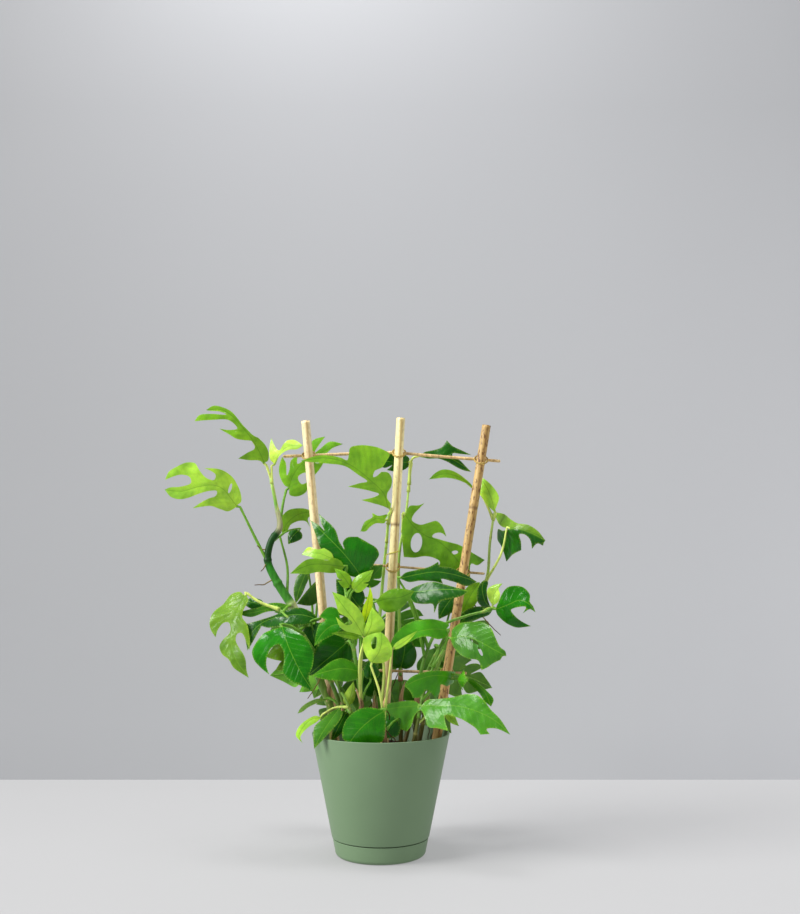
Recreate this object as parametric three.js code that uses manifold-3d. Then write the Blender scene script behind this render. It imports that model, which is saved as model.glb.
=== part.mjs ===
// A mini monstera on a bamboo ladder, in a tapered pot with a saucer. Millimetres, +Z up.
// The origin is the middle of the saucer's underside. The plant is seen from -Y, with +X to the right.

import * as THREE from "three";
import { mergeVertices } from "three/addons/utils/BufferGeometryUtils.js";
import Module from "manifold-3d";

// Pot, saucer and soil
const RIM_RADIUS = 90;
const POT_TOP = 153;
const SEAM_RADIUS = 62.5;
const SEAM_HEIGHT = 22;
const SEAM_GAP = 1.2;
const POT_WALL = 2.6;
const POT_FLOOR = 3;
const RIM_ROUND = 1;
const FOOT_RADIUS = 54.5;
const FOOT_DRAFT = 3;
const SAUCER_BASE_RADIUS = 58.5;
const SAUCER_WALL = 2.2;
const SAUCER_FLOOR = 2.5;
const SAUCER_CORNER = 6;
const GAP = 0.3;
const SOIL_DEPTH = 23;
const SOIL_RELIEF = 1.5;
const SOIL_RINGS = [0.86, 0.64, 0.42, 0.2];
const SOIL_EASE = 0.4;
const DRAIN_RADIUS = 4;
const DRAIN_CIRCLE = 32;
const DRAIN_COUNT = 6;
const DRAIN_SIDES = 8;
const HOLE_SIDES = 8;
const HOLE_REACH = 10;
const ROUND_SIDES = 32;

// Bamboo ladder: the stakes stand in one plane, and the bars lie behind them
const STAKE_PLANE = 12;
const STAKE_RADIUS = 6.3;
const STAKE_FOOT = 66;
const STAKE_TAPER = 0.93;
const KNOT_SWELL = 1.08;
const KNOT_PINCH = 0.98;
const KNOT_REACH = 0.012;
const STAKE_SIDES = 8;
const BAR_RADIUS = 2.1;
const BAR_SIDES = 6;
const TIE_WIRE = 0.7;
const TIE_SIDES = 3;
const TIE_STEPS = 10;
const TIE_TILT = 0.62;
const TIE_PLAY = 1;

// Plant
const STEM_SIDES = 5;
const STEM_FOOT = 92;
const STEM_RISE = 4;
const PETIOLE_RADIUS = 1.8;
const PETIOLE_TAPER = [1.15, 0.8];
const ROOT_RADII = [1.1, 1, 0.9, 0.8, 0.6];
const ROOT_SIDES = 4;
const ROOT_SAG = 3;
const SHORT_PETIOLE = 35;
const NECK_WIDTH = 2.4;
const NECK_REACH = 5;
const RIB_SWAY = 0.02;
const BLADE_THICKNESS = 0.9;
const MARGIN_TOLERANCE = 1.4;
const SHORT_BLADE = 60;

// Leaf places are given as [across, up] on the ladder's plane as this point sees it, with a depth
// behind that plane after them (below 0 is nearer the point).
const EYE = new THREE.Vector3(25, -1385, 350);

function seen([across, up, depth = 0]) {
  const onPlane = new THREE.Vector3(across, 0, up);
  return onPlane.sub(EYE).multiplyScalar((depth - EYE.y) / -EYE.y).add(EYE);
}

// Each stem: where its foot stands in the soil [x, y], the places it climbs through, its radius at
// the foot and at the top, and the ends of its aerial roots with the height each one leaves at.
const STEMS = {
  left_tall: {
    foot: [-60, -14],
    path: [[-67, 188, -10], [-78, 215, -8], [-94, 272, -4], [-117, 315, 0], [-139, 349, 2],
      [-151, 376, 3], [-147, 402, 3], [-136, 420, 3], [-141, 450, 2], [-149, 486, 0]],
    radius: [5, 5, 5.2, 5.6, 6, 5.6, 4.9, 4.6, 4.2, 2.4, 1.6],
    roots: [[[-160, 362, -8], 378], [[-166, 396, -2], 392], [[-168, 344, -14], 352]],
  },
  left_low: {
    foot: [-40, -32],
    path: [[-58, 200, -30], [-84, 250, -30], [-106, 283, -30], [-126, 303, -26], [-139, 316, -20]],
    radius: [3, 1.6],
    roots: [[[-96, 196, -40], 236]],
  },
  left_front: {
    foot: [-20, -46],
    path: [[-26, 190, -50], [-34, 250, -46], [-42, 300, -36], [-48, 340, -28], [-52, 362, -24]],
    radius: [3, 1.5],
    roots: [],
  },
  centre_front: {
    foot: [6, -60],
    path: [[4, 168, -60], [2, 195, -58], [4, 230, -50], [-2, 275, -44], [-10, 308, -40]],
    radius: [2.6, 1.3],
    roots: [],
  },
  centre_tall: {
    foot: [-12, 34],
    path: [[-8, 200, 36], [-2, 300, 36], [4, 370, 32], [8, 410, 20], [10, 440, 8]],
    radius: [3, 1.4],
    roots: [],
  },
  centre_back: {
    foot: [26, 42],
    path: [[26, 200, 44], [24, 300, 44], [24, 385, 42], [32, 430, 38], [38, 486, 36]],
    radius: [3, 1.3],
    roots: [],
  },
  right_tall: {
    foot: [50, 28],
    path: [[66, 215, 40], [92, 275, 42], [122, 318, 38], [140, 352, 31], [145, 400, 27], [151, 440, 22]],
    radius: [3, 1.5],
    roots: [[[158, 278, 44], 318]],
  },
  right_mid: {
    foot: [44, -24],
    path: [[48, 200, -16], [58, 250, -10], [78, 288, -7], [112, 303, -7], [146, 311, -8]],
    radius: [2.8, 1.5],
    roots: [],
  },
  right_low: {
    foot: [38, -54],
    path: [[50, 172, -56], [55, 200, -52], [68, 235, -48], [84, 262, -46]],
    radius: [2.6, 1.4],
    roots: [],
  },
  pot_front: {
    foot: [-34, -60],
    path: [[-36, 168, -60], [-44, 190, -56], [-52, 204, -50]],
    radius: [2.4, 1.3],
    roots: [],
  },
  back_left: {
    foot: [-42, 40],
    path: [[-52, 200, 52], [-70, 255, 62], [-92, 296, 66]],
    radius: [3, 1.5],
    roots: [],
  },
  back_mid: {
    foot: [-6, 60],
    path: [[-8, 190, 72], [-14, 245, 82], [-6, 290, 84]],
    radius: [3, 1.5],
    roots: [],
  },
  back_right: {
    foot: [32, 58],
    path: [[48, 200, 74], [70, 250, 82], [92, 284, 82]],
    radius: [3, 1.5],
    roots: [],
  },
};

// One half of a plain blade, from base to tip: [along the midrib, out from it], with 1 as the
// midrib's length and as the half width. A third number, 1, marks a pointed end of a lobe.
const HALVES = {
  whole: [[-0.03, 0.35], [0.08, 0.8], [0.28, 1], [0.52, 0.86], [0.78, 0.45]],
  one_cut: [[-0.03, 0.35], [0.07, 0.8], [0.3, 1], [0.53, 0.95, 1], [0.4, 0.3], [0.6, 0.72],
    [0.82, 0.36]],
  two_cut: [[-0.04, 0.4], [0.05, 0.85], [0.25, 1], [0.44, 0.95, 1], [0.29, 0.26], [0.44, 0.7],
    [0.58, 0.86], [0.72, 0.78, 1], [0.54, 0.22], [0.7, 0.5], [0.86, 0.28]],
  three_cut: [[-0.04, 0.4], [0.02, 0.84], [0.22, 1, 1], [0.14, 0.28], [0.26, 0.76], [0.38, 0.97],
    [0.53, 0.93, 1], [0.34, 0.22], [0.48, 0.64], [0.6, 0.8], [0.74, 0.7, 1], [0.56, 0.18],
    [0.72, 0.44], [0.87, 0.24]],
};

// Every leaf: its stem, the height at which its petiole leaves the stem, blade base and tip, and its
// two margins from base to tip: either the name of a plain half or the places that it runs through.
// A third number, 1, in a margin marks a pointed end. rib is the midrib's way from base to tip, via
// the petiole's way to the base, holes the eyes in the blade [across, up, length, width, tilt], wide
// the width of a plain blade over its length, turn the blade's roll about its midrib in degrees,
// arch, droop and wave its bend in mm: along the midrib, across it, and in waves.
const LEAVES = {
  crown: {
    stem: "left_tall", from: 440, base: [-158, 507, -3], tip: [-238, 579, -24],
    rib: [[-166, 525], [-177, 542], [-189, 557], [-202, 571], [-218, 580]],
    one: [[-164, 510], [-178, 511], [-193, 513, 1], [-181, 521], [-171, 527], [-174, 536],
      [-186, 538], [-197, 540], [-206, 546], [-219, 554, 1], [-205, 552], [-195, 554],
      [-200, 561], [-209, 566], [-225, 566], [-253, 564, 1], [-247, 572], [-232, 574],
      [-218, 573], [-210, 573], [-219, 577], [-230, 578]],
    two: [[-153, 510], [-152, 520], [-157, 532], [-166, 541, 1], [-174, 545], [-181, 552],
      [-188, 559], [-195, 568], [-203, 577], [-215, 583], [-228, 585]],
    turn: 12, arch: 7, droop: 3, wave: 2,
  },
  crown_bud: {
    stem: "left_tall", from: 478, base: [-144, 506, 2], tip: [-106, 531, 14],
    rib: [[-138, 519], [-124, 530]],
    one: [[-150, 512], [-151, 530], [-149, 541, 1], [-142, 527], [-138, 524], [-132, 533],
      [-126, 538], [-118, 539]],
    two: [[-141, 512], [-134, 520], [-124, 525], [-114, 526]],
    turn: -20, arch: 4, droop: 4, wave: 2,
  },
  far_left: {
    stem: "left_tall", from: 372, via: [-166, 402, 0], base: [-194, 449, -6], tip: [-291, 471, -30],
    rib: [[-203, 461], [-213, 472], [-226, 477], [-246, 475], [-268, 469]],
    one: [[-205, 442], [-216, 445], [-228, 449], [-240, 448], [-253, 446, 1], [-243, 453],
      [-232, 459], [-222, 463], [-221, 469], [-232, 469], [-246, 465], [-259, 460],
      [-271, 458], [-282, 461]],
    two: [[-188, 455], [-189, 467], [-193, 477], [-199, 487], [-209, 495], [-219, 499],
      [-238, 500, 1], [-229, 496], [-223, 491], [-225, 484], [-234, 486], [-241, 492],
      [-246, 499], [-251, 507], [-262, 508], [-277, 501], [-286, 495], [-291, 484, 1],
      [-281, 488], [-268, 491], [-258, 488], [-256, 480], [-270, 475], [-284, 474]],
    holes: [[-203, 473, 14, 4, 74]],
    turn: 10, arch: 6, droop: 4, wave: 2,
  },
  left_window: {
    stem: "left_tall", from: 418, base: [-124, 474, 26], tip: [-52, 533, 44],
    rib: [[-119, 490], [-108, 505], [-93, 515], [-74, 525]],
    one: [[-129, 476], [-135, 485], [-138, 496], [-137, 506], [-134, 515, 1], [-129, 508],
      [-127, 490], [-124, 497], [-122, 510], [-113, 518, 1], [-113, 506], [-106, 510],
      [-100, 520], [-96, 534], [-89, 540], [-76, 543, 1], [-84, 532], [-90, 521],
      [-82, 527], [-70, 536]],
    two: [[-123, 464], [-112, 462], [-101, 468], [-97, 482, 1], [-107, 478], [-112, 488],
      [-103, 494], [-92, 490], [-84, 498], [-77, 509, 1], [-88, 507], [-91, 511], [-78, 517],
      [-66, 527]],
    turn: -14, arch: 4, droop: 4, wave: 2,
  },
  left_hook: {
    stem: "left_tall", from: 326, via: [-125, 368, 12], base: [-131, 411, 20], tip: [-92, 442, 42],
    rib: [[-126, 426], [-111, 438]],
    one: [[-134, 422], [-134, 434], [-125, 443], [-106, 446]],
    two: [[-125, 416], [-121, 424], [-110, 429], [-100, 428], [-95, 421, 1], [-98, 432],
      [-94, 437]],
    turn: 20, arch: 7, droop: 6, wave: 1,
  },
  left_shade: {
    stem: "left_tall", from: 398, base: [-111, 416, 30], tip: [-124, 398, 26],
    one: "whole", two: "whole", wide: 0.9, turn: 24, arch: 3, droop: 3, wave: 1,
  },
  star: {
    stem: "centre_tall", from: 425, base: [9, 447, 4], tip: [-109, 510, -14],
    rib: [[3, 466], [-13, 482], [-32, 498], [-52, 509], [-78, 514]],
    one: [[2, 449], [-8, 452], [-27, 457, 1], [-10, 461], [-3, 465], [-14, 469], [-28, 472],
      [-45, 475, 1], [-28, 480], [-19, 482], [-31, 491], [-50, 503], [-70, 506], [-92, 508]],
    two: [[11, 443], [13, 452, 1], [8, 459], [8, 466], [13, 475], [14, 486], [9, 494],
      [0, 495, 1], [-7, 489], [-11, 488], [-9, 496], [1, 501], [7, 510], [11, 519],
      [0, 526], [-14, 530], [-30, 531], [-42, 528], [-44, 518, 1], [-46, 511], [-54, 514],
      [-68, 517], [-86, 517]],
    turn: -10, arch: 9, droop: 5, wave: 2,
  },
  star_low: {
    stem: "centre_tall", from: 400, base: [5, 430, 8], tip: [-28, 415, -2],
    rib: [[-8, 432]],
    one: [[4, 426], [-7, 426], [-15, 421], [-21, 415]],
    two: [[8, 437], [-4, 436], [-12, 440, 1], [-12, 434], [-22, 428]],
    turn: 10, arch: 4, droop: 2, wave: 1,
  },
  bar_left: {
    stem: "centre_back", from: 470, base: [36, 508, 36], tip: [-16, 513, 40],
    one: "one_cut", two: "whole", wide: 0.5, turn: -24, arch: 6, droop: 4, wave: 1,
  },
  bar_right: {
    stem: "centre_back", from: 480, via: [41, 512, 34], base: [56, 516, 36], tip: [121, 495, 30],
    rib: [[72, 517], [90, 514], [106, 506]],
    one: [[57, 521], [72, 525], [82, 529], [88, 538, 1], [96, 530], [108, 524], [121, 518, 1],
      [108, 519], [96, 520], [96, 516], [105, 511], [114, 502]],
    two: [[62, 513], [76, 513], [88, 509], [100, 502], [111, 497]],
    turn: -10, arch: 6, droop: 4, wave: 2,
  },
  right_blade: {
    stem: "right_tall", from: 432, base: [122, 475, 30], tip: [64, 485, 22],
    one: [[113, 480], [100, 485], [86, 487], [74, 486]],
    two: [[117, 482], [106, 491], [94, 497], [82, 498], [72, 493]],
    rib: [[108, 486], [92, 492], [78, 491]],
    turn: 20, arch: 6, droop: 3, wave: 1,
  },
  right_pale: {
    stem: "right_tall", from: 430, base: [151, 443, 22], tip: [131, 490, 30],
    one: [[144, 448], [136, 459], [129, 470], [127, 482]],
    two: [[155, 450], [158, 460], [155, 468], [148, 477], [139, 485]],
    rib: [[148, 458], [141, 475]],
    turn: -16, arch: 5, droop: 3, wave: 1,
  },
  right_claw: {
    stem: "right_tall", from: 348, via: [160, 386, 14], base: [172, 419, 8], tip: [219, 403, -14],
    rib: [[186, 418], [204, 411]],
    one: [[162, 421], [154, 430], [151, 441, 1], [163, 438], [173, 431], [182, 426],
      [196, 424], [210, 415]],
    two: [[162, 416], [156, 418], [155, 405], [161, 395], [167, 375, 1], [175, 383],
      [187, 390, 1], [186, 401], [184, 411], [191, 411], [197, 406], [200, 400],
      [201, 392, 1], [209, 399], [216, 396, 1], [217, 400]],
    turn: 8, arch: 6, droop: 9, wave: 2,
  },
  window: {
    stem: "centre_back", from: 415, base: [32, 437, 33], tip: [120, 345, 36],
    rib: [[44, 421], [60, 409], [76, 402], [92, 388], [106, 370]],
    one: [[28, 428], [28, 405], [30, 381, 1], [44, 380], [58, 382], [70, 380], [78, 375],
      [76, 364], [90, 352], [106, 345]],
    two: [[38, 449], [50, 450], [58, 453, 1], [51, 446], [43, 437], [41, 430], [52, 424],
      [64, 427], [74, 429], [82, 421], [87, 408, 1], [80, 413], [71, 412], [68, 408],
      [76, 405], [90, 401], [104, 397], [116, 390], [126, 384], [138, 377, 1], [128, 370],
      [120, 372], [118, 360]],
    holes: [[47, 400, 26, 15, 82], [98, 387, 9, 5, 10]],
    turn: 6, arch: 8, droop: 6, wave: 3,
  },
  tent: {
    stem: "right_mid", from: 262, base: [26, 353, -22], tip: [127, 348, -44],
    rib: [[48, 358], [76, 361], [104, 356]],
    one: [[36, 348], [52, 350], [68, 349], [82, 346, 1], [80, 352], [98, 348], [114, 343]],
    two: [[32, 360], [48, 364], [64, 368], [76, 375, 1], [78, 369], [92, 367], [112, 358]],
    turn: 24, arch: 12, droop: 8, wave: 2,
  },
  spear: {
    stem: "right_mid", from: 250, base: [36, 334, -28], tip: [116, 336, -66],
    rib: [[56, 336], [78, 338], [98, 338]],
    one: [[42, 322], [56, 319], [68, 319], [69, 308, 1], [76, 321], [92, 326], [108, 330]],
    two: [[42, 340], [54, 345], [70, 348], [84, 345], [102, 340]],
    turn: -20, arch: 8, droop: 6, wave: 2,
  },
  fist: {
    stem: "right_mid", from: 310, base: [152, 312, -10], tip: [204, 308, -34],
    rib: [[168, 318], [184, 324], [196, 319]],
    one: [[154, 305], [162, 298], [170, 292], [180, 288], [198, 290, 1], [186, 296],
      [177, 304], [172, 311], [182, 315], [192, 315], [188, 307, 1], [197, 312]],
    two: [[156, 322], [161, 333], [168, 341], [180, 343], [191, 340], [197, 331],
      [197, 322], [201, 316]],
    turn: 14, arch: 8, droop: 8, wave: 3,
  },
  elbow: {
    stem: "right_tall", from: 300, base: [147, 312, 26], tip: [103, 292, 34],
    rib: [[128, 309], [114, 303]],
    one: [[140, 315], [124, 315], [110, 309], [104, 300]],
    two: [[143, 305], [132, 301], [118, 297]],
    turn: -20, arch: 5, droop: 4, wave: 1,
  },
  ear_back: {
    stem: "right_tall", from: 262, base: [108, 309, 36], tip: [131, 348, 44],
    rib: [[114, 322], [122, 336]],
    one: [[105, 315], [106, 328], [113, 340], [121, 346]],
    two: [[116, 310], [125, 319], [131, 332]],
    turn: 12, arch: 5, droop: 4, wave: 1,
  },
  ear_dark: {
    stem: "right_tall", from: 240, base: [96, 329, 56], tip: [76, 299, 48],
    one: "whole", two: "whole", wide: 0.7, turn: 12, arch: 4, droop: 4, wave: 1,
  },
  ear_front: {
    stem: "right_tall", from: 308, base: [144, 314, 14], tip: [136, 350, 2],
    rib: [[137, 324], [134, 338]],
    one: [[136, 314], [128, 322], [127, 334], [131, 345]],
    two: [[141, 326], [140, 338], [142, 348]],
    turn: 20, arch: 5, droop: 3, wave: 1,
  },
  ear_pale: {
    stem: "right_mid", from: 309, base: [148, 318, 4], tip: [161, 346, 12],
    one: [[142, 326], [141, 337], [149, 344]],
    two: [[155, 321], [158, 331], [156, 339]],
    rib: [[150, 332]],
    turn: -10, arch: 3, droop: 2, wave: 1,
  },
  broad_left: {
    stem: "right_low", from: 240, base: [86, 285, -38], tip: [11, 263, -62],
    rib: [[66, 286], [44, 281], [26, 272]],
    one: [[90, 292], [80, 297], [62, 299], [44, 297], [28, 289], [17, 277]],
    two: [[88, 278], [76, 273], [62, 276], [48, 274], [34, 267], [20, 259]],
    turn: 14, arch: 10, droop: 6, wave: 3,
  },
  broad_right: {
    stem: "right_low", from: 262, base: [93, 274, -44], tip: [165, 251, -74],
    rib: [[112, 277], [130, 270], [148, 260]],
    one: [[94, 266], [102, 255], [114, 248], [128, 245], [132, 233, 1], [140, 237],
      [148, 242], [157, 246, 1], [161, 251]],
    two: [[94, 284], [102, 292], [118, 295], [134, 295], [145, 288], [151, 275],
      [157, 263], [164, 257]],
    holes: [[123, 270, 15, 4, -32], [131, 257, 13, 4, -64]],
    turn: -8, arch: 10, droop: 8, wave: 3,
  },
  shelf: {
    stem: "right_low", from: 200, base: [92, 224, -42], tip: [31, 212, -80],
    rib: [[72, 226], [50, 221]],
    one: [[98, 230], [82, 232], [62, 231], [44, 226], [34, 218]],
    two: [[96, 218], [86, 212, 1], [78, 214], [76, 204], [70, 197, 1], [58, 208], [52, 198],
      [42, 197, 1], [38, 205]],
    turn: -18, arch: 10, droop: 6, wave: 2,
  },
  shelf_right: {
    stem: "right_low", from: 212, base: [102, 221, -46], tip: [114, 219, -76],
    one: "whole", two: "one_cut", wide: 0.8, turn: 10, arch: 5, droop: 5, wave: 1,
  },
  ribbon: {
    stem: "right_low", from: 222, base: [112, 222, -36], tip: [144, 186, -58],
    rib: [[126, 214], [138, 202]],
    one: [[118, 214], [129, 203], [138, 191]],
    two: [[123, 219], [137, 208], [148, 195]],
    turn: 16, arch: 5, droop: 3, wave: 1,
  },
  skirt: {
    stem: "right_low", from: 178, base: [54, 187, -58], tip: [169, 150, -104],
    rib: [[78, 187], [104, 186], [130, 178], [152, 166]],
    one: [[44, 193], [24, 192], [8, 188], [5, 178], [13, 168], [24, 158], [34, 154, 1],
      [40, 162], [44, 174], [52, 181], [58, 171], [62, 160], [75, 158],
      [88, 155, 1], [84, 167], [84, 175], [100, 172], [114, 165], [124, 158], [130, 150, 1],
      [142, 151, 1], [138, 157], [150, 158]],
    two: [[60, 194], [78, 196], [96, 198], [110, 202], [124, 201], [135, 194], [144, 182],
      [156, 170]],
    turn: -10, arch: 12, droop: 8, wave: 3,
  },
  skirt_tongue: {
    stem: "right_low", from: 172, base: [86, 178, -50], tip: [102, 161, -52],
    one: "whole", two: "whole", wide: 0.5, turn: 10, arch: 2, droop: 2, wave: 1,
  },
  apron: {
    stem: "left_front", from: 200, via: [-28, 246, -66], base: [-24, 278, -70], tip: [-65, 335, -84],
    rib: [[-34, 295], [-47, 312]],
    one: [[-36, 281], [-46, 283], [-55, 290], [-60, 302, 1], [-53, 296], [-44, 291], [-38, 294],
      [-46, 302], [-56, 308], [-60, 320]],
    two: [[-19, 284], [-22, 296], [-27, 309], [-38, 321], [-49, 329]],
    turn: 8, arch: 6, droop: 5, wave: 2,
  },
  apron_right: {
    stem: "left_front", from: 203, via: [-26, 244, -64], base: [-22, 274, -68], tip: [-12, 315, -74],
    rib: [[-13, 292]],
    one: [[-23, 283], [-20, 292], [-17, 302]],
    two: [[-12, 275], [-2, 281], [5, 289], [3, 298], [-5, 307]],
    turn: -10, arch: 5, droop: 5, wave: 1,
  },
  apron_spike: {
    stem: "left_front", from: 206, base: [-30, 276, -62], tip: [-66, 281, -80],
    one: "whole", two: "whole", wide: 0.24, turn: 10, arch: 3, droop: 2, wave: 0,
  },
  spike: {
    stem: "centre_front", from: 290, base: [-22, 296, -62], tip: [-15, 343, -66],
    one: [[-25, 306], [-23, 317], [-18, 328]],
    two: [[-18, 302], [-12, 314], [-11, 328]],
    turn: 0, arch: 2, droop: 1, wave: 0,
  },
  mask: {
    stem: "centre_front", from: 176, via: [-2, 205, -72], base: [-12, 243, -74], tip: [0, 282, -78],
    rib: [[-3, 256], [1, 270]],
    one: [[-19, 250], [-24, 262], [-23, 274], [-12, 280]],
    two: [[2, 242], [12, 248], [15, 259], [11, 270], [5, 278]],
    holes: [[-9, 268, 17, 8, 80]],
    turn: -6, arch: 4, droop: 4, wave: 1,
  },
  lime: {
    stem: "centre_front", from: 280, base: [-6, 322, -50], tip: [44, 336, -58],
    rib: [[8, 326], [26, 328]],
    one: [[3, 333], [14, 338], [28, 339]],
    two: [[-2, 315], [7, 309], [16, 309], [25, 313], [34, 321]],
    turn: 14, arch: 6, droop: 5, wave: 1,
  },
  strand: {
    stem: "centre_front", from: 176, via: [12, 238, -72], base: [18, 262, -78], tip: [48, 284, -80],
    one: "whole", two: "whole", wide: 0.24, turn: 10, arch: 4, droop: 2, wave: 1,
  },
  gloss: {
    stem: "left_front", from: 330, base: [-26, 354, -24], tip: [-95, 430, -8],
    rib: [[-38, 371], [-54, 390], [-74, 410]],
    one: [[-38, 355], [-52, 360], [-64, 369], [-74, 382], [-82, 396], [-88, 412]],
    two: [[-16, 361], [-9, 373], [-3, 384], [-7, 393], [-18, 400], [-32, 408, 1],
      [-45, 407], [-51, 400], [-49, 391], [-56, 402], [-62, 418], [-84, 439, 1],
      [-80, 426], [-76, 416], [-83, 423]],
    turn: -12, arch: 9, droop: 6, wave: 2,
  },
  gloss_blue: {
    stem: "left_front", from: 320, base: [-24, 346, -10], tip: [2, 371, -20],
    one: "whole", two: "one_cut", wide: 0.8, turn: 10, arch: 4, droop: 3, wave: 1,
  },
  wing: {
    stem: "left_front", from: 346, base: [-50, 368, -32], tip: [-121, 359, -44],
    rib: [[-70, 371], [-92, 371], [-108, 366]],
    one: [[-54, 362], [-68, 360], [-84, 361], [-98, 358], [-110, 359]],
    two: [[-54, 376], [-66, 381, 1], [-70, 377], [-86, 379], [-100, 377], [-110, 370]],
    turn: -14, arch: 9, droop: 6, wave: 2,
  },
  wing_tip: {
    stem: "left_front", from: 355, base: [-64, 378, -26], tip: [-106, 384, -16],
    rib: [[-84, 386]],
    one: [[-72, 377], [-88, 379], [-97, 382]],
    two: [[-66, 386], [-76, 393, 1], [-84, 391], [-98, 394]],
    turn: 8, arch: 4, droop: 3, wave: 1,
  },
  small_left: {
    stem: "left_front", from: 325, base: [-42, 343, -42], tip: [-62, 366, -48],
    one: "one_cut", two: "whole", wide: 0.6, turn: 14, arch: 4, droop: 3, wave: 1,
  },
  small_right: {
    stem: "left_front", from: 315, base: [-36, 338, -44], tip: [-10, 364, -46],
    one: "whole", two: "one_cut", wide: 0.55, turn: -14, arch: 4, droop: 3, wave: 1,
  },
  flag: {
    stem: "left_front", from: 270, base: [-48, 292, -48], tip: [-88, 264, -66],
    rib: [[-64, 291], [-78, 280]],
    one: [[-54, 300], [-58, 311], [-70, 314], [-82, 303, 1], [-74, 298], [-82, 292],
      [-86, 280]],
    two: [[-52, 286], [-64, 278], [-76, 272]],
    turn: 8, arch: 5, droop: 4, wave: 1,
  },
  curtain: {
    stem: "left_front", from: 250, base: [-46, 268, -30], tip: [-96, 226, -38],
    one: "one_cut", two: "whole", wide: 0.8, turn: -10, arch: 8, droop: 6, wave: 2,
  },
  leaf_oval: {
    stem: "left_front", from: 205, base: [-28, 231, -56], tip: [-92, 225, -78],
    rib: [[-50, 235], [-72, 231]],
    one: [[-34, 241], [-50, 248], [-64, 245], [-78, 235]],
    two: [[-31, 222], [-44, 218], [-60, 219], [-76, 221]],
    turn: 12, arch: 7, droop: 5, wave: 1,
  },
  shadow_low: {
    stem: "left_front", from: 196, base: [-14, 222, -36], tip: [-12, 248, -40],
    one: "whole", two: "whole", wide: 0.9, turn: -16, arch: 3, droop: 3, wave: 1,
  },
  hand: {
    stem: "left_low", from: 312, via: [-162, 322, -20], base: [-180, 330, -22], tip: [-174, 223, -52],
    rib: [[-190, 309], [-198, 288], [-198, 268], [-190, 245]],
    one: [[-188, 335], [-200, 331], [-210, 318], [-220, 309], [-226, 297], [-225, 286],
      [-218, 275, 1], [-215, 286], [-209, 294], [-202, 295], [-199, 287], [-201, 280],
      [-208, 273], [-213, 264], [-210, 254], [-200, 246], [-194, 236], [-184, 229]],
    two: [[-176, 324], [-182, 312], [-184, 302], [-177, 292], [-174, 277], [-173, 259, 1],
      [-178, 270], [-184, 281], [-190, 280], [-192, 272], [-188, 263], [-181, 253],
      [-178, 245], [-177, 233]],
    turn: 16, arch: 8, droop: 7, wave: 3,
  },
  edge_on: {
    stem: "left_low", from: 308, base: [-124, 317, -8], tip: [-192, 306, -20],
    rib: [[-144, 314], [-168, 308]],
    one: [[-128, 311], [-150, 309], [-172, 302]],
    two: [[-132, 320], [-148, 320], [-160, 315], [-178, 311]],
    turn: 18, arch: 5, droop: 3, wave: 1,
  },
  small_dark: {
    stem: "left_low", from: 312, base: [-158, 318, -4], tip: [-185, 321, 2],
    one: "whole", two: "whole", wide: 0.6, turn: 22, arch: 3, droop: 3, wave: 1,
  },
  awning: {
    stem: "left_low", from: 286, base: [-84, 299, -16], tip: [-176, 258, -46],
    rib: [[-106, 305], [-130, 303], [-152, 297], [-170, 282]],
    one: [[-94, 293], [-110, 291], [-130, 290], [-148, 288], [-158, 290, 1], [-164, 279],
      [-170, 268]],
    two: [[-90, 307], [-106, 314], [-122, 312], [-142, 304], [-162, 297], [-182, 292, 1],
      [-180, 277]],
    turn: 20, arch: 10, droop: 6, wave: 2,
  },
  mitten: {
    stem: "left_low", from: 280, base: [-131, 289, -44], tip: [-88, 204, -72],
    rib: [[-124, 268], [-115, 248], [-103, 226]],
    one: [[-142, 286], [-155, 280], [-164, 270], [-170, 257], [-167, 246], [-160, 238],
      [-147, 227, 1], [-151, 240], [-149, 254], [-143, 263], [-135, 266], [-129, 258],
      [-128, 244], [-129, 230], [-119, 219], [-106, 213]],
    two: [[-120, 287], [-106, 279], [-95, 268], [-89, 254], [-90, 238], [-95, 224],
      [-92, 213]],
    turn: -8, arch: 9, droop: 7, wave: 3,
  },
  olive: {
    stem: "left_low", from: 262, base: [-124, 258, -26], tip: [-151, 250, -34],
    one: "whole", two: "whole", wide: 0.9, turn: 20, arch: 3, droop: 3, wave: 1,
  },
  olive_tip: {
    stem: "left_low", from: 242, base: [-120, 243, -26], tip: [-139, 232, -34],
    one: "whole", two: "whole", wide: 0.6, turn: 10, arch: 2, droop: 2, wave: 1,
  },
  dark_fill: {
    stem: "left_low", from: 232, base: [-92, 290, -17], tip: [-72, 236, -18],
    one: "one_cut", two: "whole", wide: 0.8, turn: 12, arch: 6, droop: 5, wave: 2,
  },
  behind_stake: {
    stem: "back_left", from: 285, base: [-82, 352, 34], tip: [-112, 319, 30],
    one: [[-90, 346], [-99, 336], [-106, 327]],
    two: [[-76, 340], [-80, 326], [-92, 317]],
    turn: -10, arch: 4, droop: 4, wave: 1,
  },
  behind_left: {
    stem: "back_left", from: 288, base: [-99, 362, 44], tip: [-113, 320, 38],
    one: [[-110, 358], [-115, 346], [-116, 332]],
    two: [[-96, 354], [-100, 344], [-104, 333], [-109, 325]],
    turn: 10, arch: 4, droop: 4, wave: 1,
  },
  behind_gap: {
    stem: "centre_tall", from: 320, base: [-46, 328, 34], tip: [-52, 356, 32],
    one: "whole", two: "whole", wide: 0.5, turn: 10, arch: 3, droop: 3, wave: 1,
  },
  dark_heart: {
    stem: "left_front", from: 300, base: [-30, 316, -26], tip: [-60, 352, -20],
    one: "whole", two: "whole", wide: 0.75, turn: 12, arch: 4, droop: 4, wave: 1,
  },
  dark_core: {
    stem: "centre_tall", from: 190, base: [-8, 200, 38], tip: [-10, 246, 34],
    one: "whole", two: "one_cut", wide: 0.9, turn: -14, arch: 5, droop: 4, wave: 1,
  },
  dark_right: {
    stem: "centre_back", from: 220, base: [26, 236, 30], tip: [32, 284, 26],
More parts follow.
